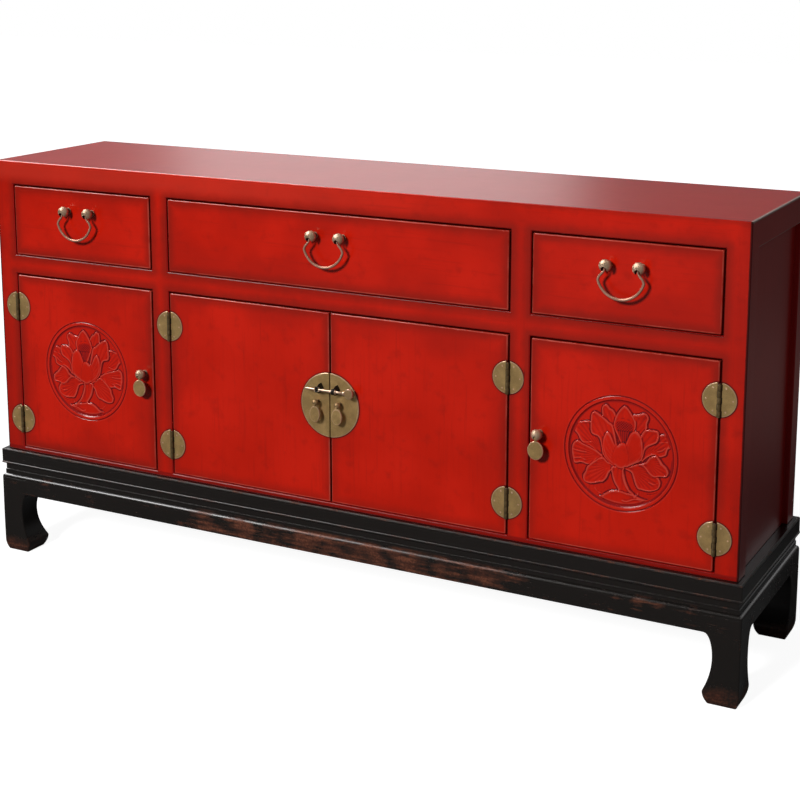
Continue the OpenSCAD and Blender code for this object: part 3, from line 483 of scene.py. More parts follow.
def case_boards():
    """Every board of the case that shows in red lacquer: (low corner, high corner, direction of its
    grain)."""
    boards = [((-HALF_WIDTH, FRONT, BOARD_FOOT), (HALF_WIDTH, BACK, CASE_TOP), LONG)]
    for (x0, x1), (x2, x3), (x4, x5), (x6, x7) in zip(
            both_sides(POST_IN, HALF_WIDTH), both_sides(STILE_IN, STILE_OUT),
            both_sides(SIDE_RAIL_IN, HALF_WIDTH), both_sides(POST_IN, PANEL_IN)):
        boards += [((x0, y, STAND_TOP), (x1, y + POST, BOARD_FOOT), UPRIGHT) for y in (FRONT, BACK - POST)]
        boards += [((x2, FRONT, DOOR_FOOT), (x3, RAIL_BACK, DRAWER_HEAD), UPRIGHT),
                   ((x4, FRONT + POST, SIDE_RAIL_FOOT), (x5, BACK - POST, BOARD_FOOT), DEEP),
                   ((x6, FRONT + POST, STAND_TOP), (x7, BACK - POST, STAND_TOP + SIDE_SILL), DEEP)]
    boards += [((x0, FRONT, DOOR_HEAD), (x1, RAIL_BACK, DRAWER_FOOT), LONG) for x0, x1 in BAYS.values()]
    boards += [((-POST_IN, FRONT, z0), (POST_IN, RAIL_BACK, z1), LONG)
               for z0, z1 in ((DRAWER_HEAD, BOARD_FOOT), (STAND_TOP, DOOR_FOOT))]
    return boards


def ease_edges(piece, width, segments=3):
    """Rounds every edge sharper than 40 degrees, with normals that follow the wide faces."""
    bevel = piece.modifiers.new("eased edges", "BEVEL")
    bevel.width, bevel.segments = width / 1000, segments
    bevel.limit_method, bevel.angle_limit = "ANGLE", np.radians(40)
    piece.modifiers.new("flat faces", "WEIGHTED_NORMAL").weight = 100


def board(low, high, arris, stack, wear_and_painted_light=0.0):
    """A board with rounded edges: round-cornered rectangles stacked through its thickness along one axis,
    inset by arris * (1 - sin a) at a depth of arris * (1 - cos a) near both faces."""
    low, high = np.array(low, float), np.array(high, float)
    a, b = [k for k in range(3) if k != stack]
    turn = np.linspace(0, np.pi / 2, 6)
    rise, inset = arris * (1 - np.cos(turn)), arris * (1 - np.sin(turn))
    thick = high[stack] - low[stack]
    inset = np.concatenate([[arris + 1], inset, inset[::-1], [arris + 1]])
    level = np.concatenate([[0], rise, thick - rise[::-1], [thick]])
    half, middle = ((high - low) / 2)[[a, b]], ((high + low) / 2)[[a, b]]
    rows = rectangles(np.stack([inset, level], axis=1), half, arris + 0.01, steps=6)
    spots = np.empty_like(rows)
    spots[..., [a, b]], spots[..., stack] = rows[..., :2] + middle, rows[..., 2] + low[stack]
    return shell(spots, wear_and_painted_light=wear_and_painted_light)


case_skin, case_grain = joined_boards(case_boards())
case = make_piece("lacquered_case", [case_skin], "case", RED_FRONT, "top_board", "corner_posts",
                  "front_top_rail", "front_middle_rails", "front_sill", "inner_stiles", "side_rails")
lay_grain(case, case_grain)
case.data.materials.append(RED_BOARDS[1])
middles = np.empty(len(case.data.polygons) * 3)
case.data.polygons.foreach_get("center", middles)
behind = middles.reshape(-1, 3)[:, 1] > (FRONT + 0.5) / 1000
case.data.polygons.foreach_set("material_index", behind.astype(np.int32))
ease_edges(case, 2.2)
panels = [board((x0, panel_front, STAND_TOP + 0.3), (x1, panel_back, PANEL_TOP), 1.0, 0)
          for x0, x1 in both_sides(PANEL_IN, PANEL_OUT)]
lay_grain(make_piece("case_side_panels", panels, "case", RED_BOARDS, "side_panels"), UPRIGHT)


# Inside and back. The back is a frame and thin panels under a thin dull black stain. Partitions, dust
# boards, runners, guides and floor are planed softwood left bare, as are the drawer boxes and the battens
# on the doors.


def bare_wood():
    """Planed softwood: tilted rings, (0.9 z + 0.35 y) * 0.055 bent by noise, in pale and darker bands
    that are drawn out along the board, with fine pores."""
    paint = Paint("bare_wood")
    spot = paint.place()
    x, y, z = paint.axes(spot)
    bend = paint.noise(spot, 260, 2, stretch=(3.0, 1.0, 1.0))
    ring = (z * 0.9 + y * 0.35) * 0.055 + bend * 9 + x * 0.0016
    band = ring.fraction()
    late = band.step(0.45, 0.95) * band.step(1.0, 0.965)
    pores = paint.noise(spot, 1.4, 3, stretch=(26.0, 6.0, 6.0))
    base = paint.mix(late * 0.55 + pores * 0.12, (0.50, 0.305, 0.150), (0.315, 0.165, 0.068))
    base = paint.mix(paint.noise(spot, 120, 3).step(0.35, 0.75) * 0.3, base, (0.40, 0.250, 0.130))
    return paint.finish(base_color=base, roughness=0.62 + pores * 0.15, specular_ior_level=0.35,
                        normal=paint.bump(pores * 0.6 + late * 0.4, 0.15, 0.6))


def black_stain():
    """Thin dull black stain: the softwood's streaks show through as brown where the noise runs high."""
    paint = Paint("black_stain")
    spot = paint.place()
    streaks = paint.noise(spot, 4, 4, stretch=(30.0, 1.0, 1.6), rough=0.62)
    clouds = paint.noise(spot, 160, 3)
    base = paint.mix(streaks.step(0.45, 0.85) * 0.7, (0.017, 0.0135, 0.0125), (0.060, 0.036, 0.024))
    base = paint.mix(clouds.step(0.45, 0.75) * 0.4, base, (0.030, 0.024, 0.021))
    return paint.finish(base_color=base, roughness=0.6 + streaks * 0.2, specular_ior_level=0.4,
                        normal=paint.bump(streaks, 0.2, 0.6))


BARE, STAIN = bare_wood(), black_stain()


def split_sharp(piece, angle=40):
    piece.modifiers.new("sharp edges", "EDGE_SPLIT").split_angle = np.radians(angle)


def dress(node, material, edge=0.7):
    """A CAD node kept as it is, with its finish, its triangles welded, and its edges eased or, for edge 0,
    kept sharp."""
    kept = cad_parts[node]
    kept.data.materials.clear()
    kept.data.materials.append(material)
    kept.data.polygons.foreach_set("use_smooth", np.ones(len(kept.data.polygons), bool))
    kept.modifiers.new("weld", "WELD").merge_threshold = 1e-5
    if edge:
        ease_edges(kept, edge, 2)
    else:
        split_sharp(kept, 35)


for node in ("back_frame", "back_panels"):
    dress(node, STAIN, 1.0)
for node in ("cupboard_floor", "partitions", "dust_boards", "drawer_runners", "drawer_guides", "door_stops"):
    dress(node, BARE)


# Three drawers. Each has a flat softwood front in red lacquer, its edges eased, with a hair-wide seam
# round it, and a bare box on runners behind.

ARRIS = 2.8

for bay, (x0, x1) in BAYS.items():
    low, high = (x0 + SEAM, FRONT, DRAWER_FOOT + SEAM_FOOT), (x1 - SEAM, LEAF_BACK, DRAWER_HEAD - SEAM)
    face = make_piece(f"{bay}_drawer_face", [board(low, high, ARRIS, 1)], f"{bay}_drawer", RED_FRONT,
                      f"{bay}_drawer_front")
    lay_grain(face, LONG)
    dress(f"{bay}_drawer_box", BARE)
    dress(f"{bay}_drawer_bottom", BARE)


# Four doors. Flat red-lacquered boards with two battens behind; the outer two are carved with a roundel:
# a V groove, a raised ring and a sunk ground on which a lotus, its leaves and a strip of water stand in
# low relief.

DOORS = {"left": (SEAM - POST_IN, -STILE_OUT - SEAM), "centre_left": (SEAM - STILE_IN, -SEAM / 2),
         "centre_right": (SEAM / 2, STILE_IN - SEAM), "right": (STILE_OUT + SEAM, POST_IN - SEAM)}
LEAF_FOOT, LEAF_HEAD = DOOR_FOOT + SEAM_FOOT, DOOR_HEAD - SEAM
ROUNDEL_HEIGHT, GROUND_EDGE, GROUND = 423.0, 92.5, -2.9

for door in ("centre_left", "centre_right"):
    x0, x1 = DOORS[door]
    plain = board((x0, FRONT, LEAF_FOOT), (x1, LEAF_BACK, LEAF_HEAD), ARRIS, 1)
    panel = make_piece(f"{door}_door_board", [plain], f"{door}_door", RED_FRONT, f"{door}_door_panel")
    lay_grain(panel, UPRIGHT)
for door in DOORS:
    dress(f"{door}_door_battens", BARE)

# Forms of the relief from back to front, in mm from the roundel's middle, as on the right door: the
# height of the rim below the door's face, where the veins start from, their number, and the outline
LEAVES_AND_PETALS = {
    "upper left leaf": (-1.5, (-34, -4), 46, [(-34, -8), (-48, 1), (-58, 6), (-68, 9), (-75, 15), (-80, 24),
        (-88, 33), (-84, 44), (-71, 48), (-57, 50), (-40, 42), (-26, 12)]),
    "lower left leaf": (-1.0, (-30, -10), 50, [(-33, -10), (-42, -3), (-50, 1), (-60, 5), (-70, 8),
        (-80, 12), (-88, 6), (-91, -10), (-87, -28), (-72, -26), (-60, -28), (-51, -23), (-43, -15)]),
    "foot leaf": (-0.9, (-14, -22), 40, [(-11, -22), (-22, -19), (-31, -12), (-39, -14), (-46, -19),
        (-54, -26), (-61, -33), (-64, -42), (-68, -50), (-66, -59), (-56, -62), (-46, -60), (-38, -57),
        (-31, -55), (-25, -48), (-21, -38), (-15, -30)]),
    "right foot leaf": (-1.3, (16, -24), 44, [(8, -25), (20, -20), (31, -15), (41, -16), (50, -24),
        (57, -31), (68, -33), (73, -42), (70, -52), (60, -58), (50, -60), (40, -59), (33, -58), (28, -50),
        (24, -38), (20, -30)]),
    "upper right leaf": (-1.4, (42, -2), 44, [(38, -8), (46, -1), (53, 4), (61, 7), (71, 5), (81, 9),
        (83, 15), (85, 21), (93, 25), (96, 36), (89, 44), (76, 45), (66, 40), (54, 26), (42, 12)]),
    "curled leaf": (-0.6, (46, -8), 34, [(46, -9), (52, -1), (59, 4), (66, 5), (72, -1), (77, -8),
        (84, -14), (87, -22), (83, -29), (72, -30), (62, -32), (54, -28), (47, -20), (40, -15), (33, -15)]),
    "back left petal": (-1.2, (-4, 20), 40, [(-10, 56), (-11, 68), (-16, 76), (-22, 79), (-27, 84),
        (-33, 83), (-36, 76), (-35, 66), (-34, 58), (-24, 50), (-14, 48)]),
    "back right petal": (-1.1, (8, 18), 40, [(22, 42), (25, 56), (24, 66), (21, 72), (31, 74), (40, 78),
        (46, 76), (49, 69), (46, 60), (46, 52), (42, 44), (36, 34), (26, 30)]),
    "left petal": (-0.7, (-8, -16), 46, [(-14, 44), (-24, 54), (-35, 62), (-43, 67), (-50, 69), (-55, 64),
        (-56, 50), (-56, 36), (-53, 29), (-43, 26), (-38, 20), (-35, 8), (-32, -5), (-24, -15), (-11, -23),
        (-6, 0)]),
    "right petal": (-0.7, (10, -18), 46, [(8, -22), (24, -15), (37, -7), (41, 4), (43, 13), (48, 20),
        (57, 25), (65, 30), (68, 40), (66, 49), (56, 50), (46, 49), (40, 44), (30, 24), (12, 0)]),
    "middle petal": (-0.55, (5, 4), 34, [(-13, 50), (-11, 62), (-7, 72), (-1, 81), (5, 86), (12, 82),
        (18, 74), (23, 66), (26, 56), (23, 44), (14, 30), (0, 28), (-9, 38)])}
FRONT_PETALS = {
    "front left petal": (-0.5, (-2, -22), 34, [(-4, -22), (-16, -18), (-26, -8), (-31, 4), (-32, 18),
        (-29, 30), (-24, 35), (-18, 28), (-12, 16), (-4, 4), (0, -8)]),
    "front right petal": (-0.4, (6, -22), 34, [(4, -22), (18, -18), (32, -8), (39, 6), (39, 22), (36, 34),
        (30, 42), (24, 43), (17, 37), (12, 24), (6, 10), (0, -6)]),
    "front middle petal": (-0.3, (3, -26), 30, [(2, -25), (-8, -22), (-14, -12), (-13, 0), (-7, 12),
        (0, 18), (4, 20), (8, 18), (13, 6), (15, -8), (10, -20)])}
STEM = (-0.9, (2, 60), 70, [(-14, -26), (-15, -38), (-11, -52), (-3, -64), (4, -72), (26, -72), (17, -62),
    (11, -50), (8, -40), (6, -30), (6, -24)])
POD = (-1.2, None, 0, [(-12, 50), (-9, 58), (-1, 61), (8, 61), (18, 58), (23, 52), (21, 43), (16, 32),
    (10, 22), (5, 17), (1, 20), (-4, 30), (-9, 41)])
WATER = (-0.9, None, 0, [(-60, -76), (-46, -84), (-34, -82), (-27, -77), (-20, -72), (-12, -69), (0, -68),
    (14, -70), (26, -71), (36, -75), (50, -77), (62, -72), (60, -90), (30, -104), (-30, -104)])
POD_LIP = 42
# Lines cut or raised alone: (height, half width, points)
LINES = [(0.9, 1.1, [(-71, 48), (-64, 49), (-56, 50)]), (0.6, 0.9, [(-70, 12), (-62, 12), (-54, 14)]),
         (0.7, 1.0, [(66, 4), (70, -2), (74, -9)]), (0.9, 1.3, [(27, -75), (31, -72), (33, -67)]),
         (0.9, 1.2, [(5, -84), (12, -85), (19, -82), (28, -78), (37, -78)]),
         (0.5, 1.1, [(38, -82), (50, -84), (60, -79)]),
         (0.8, 1.0, [(6, -28), (5, -38), (8, -50), (13, -60), (20, -69)]),
         (-0.8, 1.1, [(-16, -36), (-12, -50), (-4, -64)]), (0.6, 1.0, [(-86, -20), (-76, -18), (-66, -20)]),
         (0.5, 1.0, [(-88, -4), (-76, -6), (-64, -6)]), (0.5, 0.9, [(70, 30), (80, 32), (90, 34)]),
         (0.5, 0.9, [(66, 14), (74, 16), (80, 22)]), (0.5, 1.0, [(52, -44), (60, -46), (68, -44)]),
         (-0.5, 1.0, [(50, -66), (60, -64), (72, -58)]), (0.5, 1.0, [(-46, -70), (-40, -76), (-30, -78)])]


def smooth_line(points, closed, steps=7):
    """A Catmull-Rom curve. Between p1 and p2 it is (2 p1 + (p2 - p0) t + (2 p0 - 5 p1 + 4 p2 - p3) t^2
    + (3 p1 - p0 - 3 p2 + p3) t^3) / 2, with t from 0 to 1."""
    p = np.asarray(points, float)
    p = np.concatenate([p[-1:], p, p[:2]]) if closed else np.concatenate([p[:1], p, p[-1:]])
    t = np.linspace(0, 1, steps, endpoint=False)[None, :, None]
    p0, p1, p2, p3 = (p[k:len(p) - 3 + k, None] for k in range(4))
    curve = 2 * p1 + (p2 - p0) * t + (2 * p0 - 5 * p1 + 4 * p2 - p3) * t ** 2
    curve = ((curve + (3 * p1 - p0 - 3 * p2 + p3) * t ** 3) / 2).reshape(-1, 2)
    return curve if closed else np.concatenate([curve, p[-1:]])


def reach(spots, line, closed):
    """Distance from each spot to a line of straight pieces, positive inside a closed one: the least
    length of w - d * clip(w . d / d . d, 0, 1) over the pieces. A spot is inside where a ray crosses an
    odd number."""
    a = line if closed else line[:-1]
    b = np.roll(line, -1, axis=0) if closed else line[1:]
    w, d = spots[:, None] - a, b - a
    share = np.clip((w * d).sum(-1) / ((d * d).sum(-1) + 1e-9), 0, 1)
    away = np.sqrt(((w - share[..., None] * d) ** 2).sum(-1).min(1))
    if not closed:
        return away
    straddle = (a[:, 1] > spots[:, 1:]) != (b[:, 1] > spots[:, 1:])
    run = (spots[:, 1:] - a[:, 1]) * d[:, 0] / np.where(d[:, 1] == 0, 1e-9, d[:, 1])
    return np.where((straddle & (spots[:, :1] < a[:, 0] + run)).sum(1) % 2 == 1, away, -away)


def near(spots, line, margin):
    """Which spots lie in the box round a line, widened by the margin."""
    return ((spots > line.min(0) - margin) & (spots < line.max(0) + margin)).all(1)


def raise_form(spots, height, rim, root, veins, outline, dish=1.15, ridge=0.75, wall=1.0):
    """Lays one form over the relief. With d the distance in from its outline, its surface is
    rim - dish * (1 - exp(-d / 5)) + ridge * worn * exp(-((d - 1.1) / 0.85)^2), where worn waves slowly
    along the rim. Veins are a sine of the angle about their root. The form meets what lies below it in a
    wall of the given width, with a shallow cut at its foot."""
    line = smooth_line(outline, True)
    close = near(spots, line, 6)
    here = spots[close]
    d = reach(here, line, True)
    inside = np.clip(d, 0, None)
    worn = 0.6 + 0.4 * np.sin(here[:, 0] * 0.23 + here[:, 1] * 0.19 + 9 * rim)
    form = rim - dish * (1 - np.exp(-inside / 5)) + ridge * worn * np.exp(-((inside - 1.1) / 0.85) ** 2)
    if veins:
        x, z = (here - root).T
        fade = np.clip((inside - 2) / 4, 0, 1) * np.clip(np.hypot(x, z) / 16 - 0.3, 0, 1)
        form += 0.14 * np.sin(np.arctan2(x, z) * veins) * fade
    below = height[close] - 0.55 / wall ** 2 * np.exp(-((d + 1.7) / 0.9) ** 2) * (d < 0)
    share = np.clip(d / wall + 1, 0, 1)
    share = share * share * (3 - 2 * share)
    height[close] = below + (form - below) * share


def lotus_relief(spots, lean):
    """Height of the carving at each spot, the door's face being 0, and the shade of its seed pod. The
    forms are laid one over another from back to front, and lean bends them all a little, as two carvings
    differ."""
    radius = np.hypot(*spots.T)
    shade = np.zeros(len(spots))
    height = GROUND + 0.35 * np.cos(np.clip(radius / GROUND_EDGE, 0, 1) * np.pi / 2)
    height += 0.10 * np.sin(spots[:, 0] * 0.9 + 2 * np.sin(spots[:, 1] * 0.13)) * np.sin(spots[:, 1] * 0.35)
    bend = np.stack([2.5 * np.sin(spots[:, 1] / 34 + 0.8), 1.8 * np.sin(spots[:, 0] / 29)], axis=1)
    spots = spots + lean * bend
    for form in LEAVES_AND_PETALS.values():
        raise_form(spots, height, *form)
    raise_form(spots, height, *POD, dish=-0.3, ridge=0.0, wall=2.6)
    pod = smooth_line(POD[-1], True)
    close = near(spots, pod, 0)
    x, z = spots[close].T
    d = np.clip(reach(spots[close], pod, True) / 3, 0, 1)
    seeds = np.maximum(np.cos((x + z) * 1.35), np.cos((x - z) * 1.35))
    ribs = np.cos(np.arctan2(x - 5, z + 20) * 95) * 0.7
    height[close] += d * (0.32 * np.where(z > POD_LIP, seeds, ribs) - 0.25 * (np.abs(z - POD_LIP) < 1.1))
    shade[close] -= 0.5 * d
    raise_form(spots, height, *STEM, dish=0.7)
    for form in FRONT_PETALS.values():
        raise_form(spots, height, *form, dish=-0.55, ridge=0.2, wall=1.8)
    raise_form(spots, height, *WATER, dish=0.9)
    for rise, half_width, points in LINES:
        line = smooth_line(points, False)
        close = near(spots, line, 6)
        height[close] += rise * np.exp(-(reach(spots[close], line, False) / half_width) ** 2)
    border = np.clip((GROUND_EDGE - radius) / 3.5, 0, 1)
    return GROUND + (np.minimum(height, 0) - GROUND) * border * border * (3 - 2 * border), shade


# Round the ground: a steep wall up from 95 mm, a ring rounded over at 98 and a narrow V cut from 102 to
# 106, as (distance from the middle, height), and their painted light: a painted highlight (above 0) on the
# ring's edges, painted shade (below 0) on the wall and in the V
RING_PROFILE = [(92.5, GROUND), (95.0, -2.85), (95.7, -2.5), (96.3, -1.6), (96.9, -0.7), (97.6, -0.2),
                (98.4, 0.0), (101.6, 0.0), (102.3, -0.25), (102.9, -0.9), (103.4, -1.4), (103.9, -1.4),
                (104.4, -0.9), (105.0, -0.25), (105.8, 0.0)]
RING_PAINTED_LIGHT = [(92.5, -0.2), (95, -0.7), (96.9, -0.6), (97.6, 0.1), (98.4, 0.2), (99.3, 0), (101, 0),
            (101.6, 0.1), (102.3, -0.2), (103, -0.8), (104.2, -0.8), (105, -0.2), (105.8, 0.2), (106.8, 0)]


def carved_board(x0, x1, mirrored):
    """A door with its roundel, as one closed skin. Inside, a square grid (u, v) is bent to a disc by
    (u * sqrt(1 - v^2 / 2), v * sqrt(1 - u^2 / 2)) and takes the height of the relief; round it, rings
    carry the groove; then the rim's rays run out to the board's edge, inner box + offset * unit vector,
    and over it to the back. Points above the mean of their neighbours carry a painted highlight, and points
    below it painted shade mixed with glaze, as does the deep ground."""
    cells = 262
    u, v = (g.ravel() for g in np.meshgrid(*[np.linspace(-1, 1, cells + 1)] * 2))
    disc = np.stack([u * np.sqrt(1 - v * v / 2), v * np.sqrt(1 - u * u / 2)], axis=1)
    spots = disc * GROUND_EDGE
    height, shade = lotus_relief(spots * ((-1, 1) if mirrored else (1, 1)), 1.0 if mirrored else 0.0)
    index = np.arange(len(u)).reshape(cells + 1, cells + 1)
    level = height.reshape(index.shape)
    for _ in range(7):
        level = sum((np.roll(level, s, axis=k) for k in (0, 1) for s in (-2, 2)), level) / 5
    # Painted highlight on raised points, painted shade mixed with glaze on low points and the deep ground
    wear_and_painted_light = height - level.ravel()
    wear_and_painted_light = np.sign(wear_and_painted_light) * np.clip((abs(wear_and_painted_light) - 0.05) / 0.30, 0, 1) * np.where(wear_and_painted_light > 0, 0.42, 0.75)
    wear_and_painted_light += shade - 0.10 * np.clip((-2.0 - height) / 0.6, 0, 1)
    quads = np.stack([index[:-1, :-1], index[:-1, 1:], index[1:, 1:], index[1:, :-1]], axis=-1)
    rim = np.concatenate([index[0, :-1], index[:-1, -1], index[-1, :0:-1], index[:0:-1, 0]])
    radii = np.sort([r for r, _ in RING_PROFILE[1:]] + [93.8, 99.3, 100.7, 106.8, 108.0])
    rings = np.concatenate([disc[rim] * r for r in radii])
    half = np.array([(x1 - x0) / 2, (LEAF_HEAD - LEAF_FOOT) / 2])
    shift = np.array([0, ROUNDEL_HEIGHT - (LEAF_HEAD + LEAF_FOOT) / 2])
    edge = np.stack([u, v], axis=1)[rim] * half
    corner = ARRIS + 0.8
    inner = np.clip(edge, corner - half, half - corner)
    away = edge - inner
    away /= np.linalg.norm(away, axis=1, keepdims=True)
    turn = np.linspace(0, np.pi / 2, 4)
    over = 0.8 + np.concatenate([[-0.5], ARRIS * np.sin(turn), ARRIS * np.sin(turn[::-1])])
    down = ARRIS * (1 - np.cos(turn))
    down = np.concatenate([[0], down, LEAF_BACK - FRONT - down[::-1]])
    flat = np.concatenate([spots, rings, *(inner + away * o - shift for o in over)])
    ring_depth = -np.interp(radii, *np.transpose(RING_PROFILE))
    depth = np.concatenate([-height, np.repeat(ring_depth, len(rim)), np.repeat(down, len(rim))])
    points = np.stack([flat[:, 0] + (x0 + x1) / 2, FRONT + depth, flat[:, 1] + ROUNDEL_HEIGHT], axis=1)
    loops = len(u) + np.arange((len(radii) + len(down)) * len(rim)).reshape(-1, len(rim))
    loops = np.concatenate([rim[None], loops])
    on = np.roll(loops, -1, axis=1)
    skirt = np.stack([loops[:-1], loops[1:], on[1:], on[:-1]], axis=-1).reshape(-1, 4)
    ring_painted_light = np.interp(radii, *np.transpose(RING_PAINTED_LIGHT))
    wear_and_painted_light = np.concatenate([wear_and_painted_light, np.repeat(ring_painted_light, len(rim)), np.zeros(len(down) * len(rim))])
    return points, np.concatenate([quads.reshape(-1, 4), skirt]), [loops[-1][::-1]], wear_and_painted_light


for door, mirrored in (("left", True), ("right", False)):
    panel = make_piece(f"{door}_door_carved_board", [carved_board(*DOORS[door], mirrored)], f"{door}_door",
                       RED_FRONT, f"{door}_door_panel")
    lay_grain(panel, UPRIGHT)
    # The few faces over 15 square mm are the board's flat ones
    sizes = np.empty(len(panel.data.polygons))
    panel.data.polygons.foreach_get("area", sizes)
    panel.data.polygons.foreach_set("use_smooth", sizes < 1.5e-5)


# Hinges. Eight round plates of aged brass, cut in two at the seam: one half is nailed to the door and one
# to the frame, each with three round-headed nails, and five knuckles turn on a pin between them.


def aged_brass(name, colour, dark, bright, rough, metallic):
    """Brass gone olive brown, and its slot: clouds and spots of tarnish, bright where its attribute is above 0,
    which is wear on rims, nails, collars and the rod and a painted highlight on the bail wire's front, and near
    black where it is below, which is painted shade in the heads' slots, on the shanks, the wire's back, the
    pins, the drops' eyes and the lock's lugs, together with the rod where it bears in them and a dark band on
    the hinge knuckles."""
    paint = Paint(name)
    spot = paint.place()
    clouds = paint.noise(spot, 22, 4, rough=0.6)
    specks = paint.noise(spot, 2.2, 3, rough=0.65)
    wear_and_painted_light = paint.attribute("wear_and_painted_light")
    # Brighter above 0, wear and painted highlight; near black below 0, mostly painted shade
    bare, grease_and_shade = wear_and_painted_light.most(0), (wear_and_painted_light * -1).most(0)
    base = paint.mix((clouds * 0.7 + specks * 0.3).step(0.38, 0.66), dark, colour)
    base = paint.mix(bare * (specks * 0.6 + 0.55).least(1), base, bright)
    base = paint.mix(grease_and_shade, base, (0.010, 0.0075, 0.005))
    return "antique_brass", paint.finish(base_color=base, metallic=metallic - grease_and_shade * (metallic - 0.1),
                                         roughness=rough + clouds * 0.12 - bare * 0.12 + grease_and_shade * 0.3,
                                         normal=paint.bump(clouds * 0.7 + specks * 0.3, 0.12, 0.5))


PLATE_BRASS = aged_brass("plate_brass", (0.580, 0.380, 0.155), (0.420, 0.270, 0.105), (0.82, 0.56, 0.38),
                         0.44, 0.6)
HINGE_THICK, NAIL_OUT, NAIL_UP = 1.2, 23.625, 23.0
BARREL_RADIUS, BARREL_LENGTH, BARREL_DROP = 3.4, 58.0, 1.0
BARREL_FRONT = FRONT - BARREL_RADIUS - 0.2
# Each door's seam, and the side of it that the frame is on
HINGE_SEAM = {"left": (-OUTER_SEAM, -1), "centre_left": (-INNER_SEAM, -1), "centre_right": (INNER_SEAM, 1),
              "right": (OUTER_SEAM, 1)}


def plate(outline, thick, x, z, y=FRONT, bevel=1.0, shade=None, seam=0.0):
    """A flat plate on a face that looks forwards. Its outline, a function of the inset, is drawn in by
    bevel * (1 - sin a) as it rises by thick * (1 - cos a) at the rim, in five steps. The rim is rubbed
    bright, but not within seam of x = 0; a shade takes the place of this rub."""
    rise = thick * np.array([0, 0.5, 0.75, 0.92, 1.0, 1.0, 1.0])[:, None]
    line = np.stack([outline(inset * bevel) for inset in (0, 0, 0.16, 0.5, 1.0, 1.6, 2.6)])
    wear_and_painted_light = np.array([0.2, 0.6, 0.9, 0.9, 0.5, 0.05, 0.0])[:, None] * (abs(line[0, :, 0]) >= seam)
    rows = np.stack([line[..., 0] + x, y - rise + 0 * line[..., 0], line[..., 1] + z], axis=-1)
    return shell(rows, wear_and_painted_light=wear_and_painted_light if shade is None else shade)


def cut_circle(radius, cut, side, count=56):
    """A circle kept only where side * x is above cut, with points along the straight side too, as a
    function of the inset."""
    def outline(inset):
        swing = np.arccos((cut + inset) / (radius - inset))
        turn = np.linspace(-swing, swing, count)
        arc = (radius - inset) * np.stack([np.cos(turn), np.sin(turn)], axis=1)
        line = np.concatenate([arc, np.linspace(arc[-1], arc[0], 9)[1:-1]])
        return line if side > 0 else (line * (-1, 1))[::-1]
    return outline


def turned(profile, base, axis, around=24, wear_and_painted_light=0.0):
    """A piece turned on a lathe: profile points (height, radius) go round an axis through base along X, Y
    or Z, p = base + height * e + radius * (cos t * f + sin t * g)."""
    height, radius = np.asarray(profile, float).T[:, :, None, None]
    e, f, g = np.eye(3)[[axis, (axis + 1) % 3, (axis + 2) % 3]]
    t = np.linspace(0, 2 * np.pi, around, endpoint=False)[None, :, None]
    return shell(np.asarray(base, float) + height * e + radius * (np.cos(t) * f + np.sin(t) * g), wear_and_painted_light=wear_and_painted_light)


def nail(x, z, y, radius=1.7):
    """A round nail head: radius * sin a out and 0.55 * radius * cos a up."""
    a = np.linspace(np.pi / 2, 0.12, 6)
    profile = np.stack([-(0.55 * radius * np.cos(a)), radius * np.sin(a)], axis=1)
    return turned(profile, (x, y + 0.01, z), 1, 14, wear_and_painted_light=1.0)


def hinge_half(seam_x, z, side, fingers):
    """One leaf: its plate, three nails and its knuckles, each joined to the plate by a curl of brass."""
    parts = [plate(cut_circle(HINGE_RADIUS, BARREL_RADIUS + 0.4, side), HINGE_THICK, seam_x, z, seam=5.0)]
    for angle in np.radians([62, 0, -62]):
        parts.append(nail(seam_x + side * NAIL_OUT * np.cos(angle), z + NAIL_UP * np.sin(angle),
                          FRONT - HINGE_THICK))
    length = BARREL_LENGTH / 5
    top = length - 0.2
    profile = [(0.0, 2.3), (0.0, 3.2), (0.2, BARREL_RADIUS), (top - 0.2, BARREL_RADIUS), (top, 3.2),
               (top, 2.3)]
    low, high = sorted((seam_x + side * 0.8, seam_x + side * (BARREL_RADIUS + 1.6)))
    for finger in fingers:
        foot = z - BARREL_DROP - BARREL_LENGTH / 2 + finger * length
        parts.append(turned(profile, (seam_x, BARREL_FRONT, foot), 2, 20,
                            wear_and_painted_light=[-1, -1, -0.82, -0.82, -1, -1]))
        parts.append(board((low, FRONT - HINGE_THICK - 0.1, foot + 0.2),
                           (high, FRONT - 0.2, foot + top - 0.2), 0.4, 1, wear_and_painted_light=-1.0))
    return parts


frame_leaves = []
for door, (seam_x, out) in HINGE_SEAM.items():
    door_leaves = []
    for z in (HINGE_HIGH_RIGHT if door == "centre_right" else HINGE_HIGH, HINGE_LOW):
        frame_leaves += hinge_half(seam_x, z, out, (0, 2, 4))
        door_leaves += hinge_half(seam_x, z, -out, (1, 3))
    make_piece(f"{door}_door_hinge_plates", door_leaves, f"{door}_door", PLATE_BRASS,
               f"{door}_door_hinge_leaves")
make_piece("frame_hinge_plates", frame_leaves, "case", PLATE_BRASS, "hinge_frame_leaves")
dress("hinge_pins", PLATE_BRASS[1], edge=0)


# Drawer pulls. Two turned brass posts with ball heads, slotted below, hold a bail of copper-coloured wire
# whose ends turn in to the slots; it hangs against the drawer and lifts on its ends.

BALL_BRASS = aged_brass("ball_brass", (0.600, 0.420, 0.290), (0.400, 0.270, 0.165), (0.75, 0.56, 0.44),
                        0.42, 0.55)
WIRE_BRASS = aged_brass("wire_brass", (0.640, 0.310, 0.210), (0.450, 0.210, 0.140), (0.86, 0.50, 0.36),
                        0.30, 0.6)
HEAD_REACH, HEAD_SIZE, BALL_RADIUS, BAIL_HEIGHT, POST_GAP = 17.0, 20.0, 11.2, 757.0, 60.0
WIRE_RADIUS, BAIL_RADIUS = 2.2, 42.8
PIVOT_FRONT, PIVOT_DOWN = -193.5, 5.0


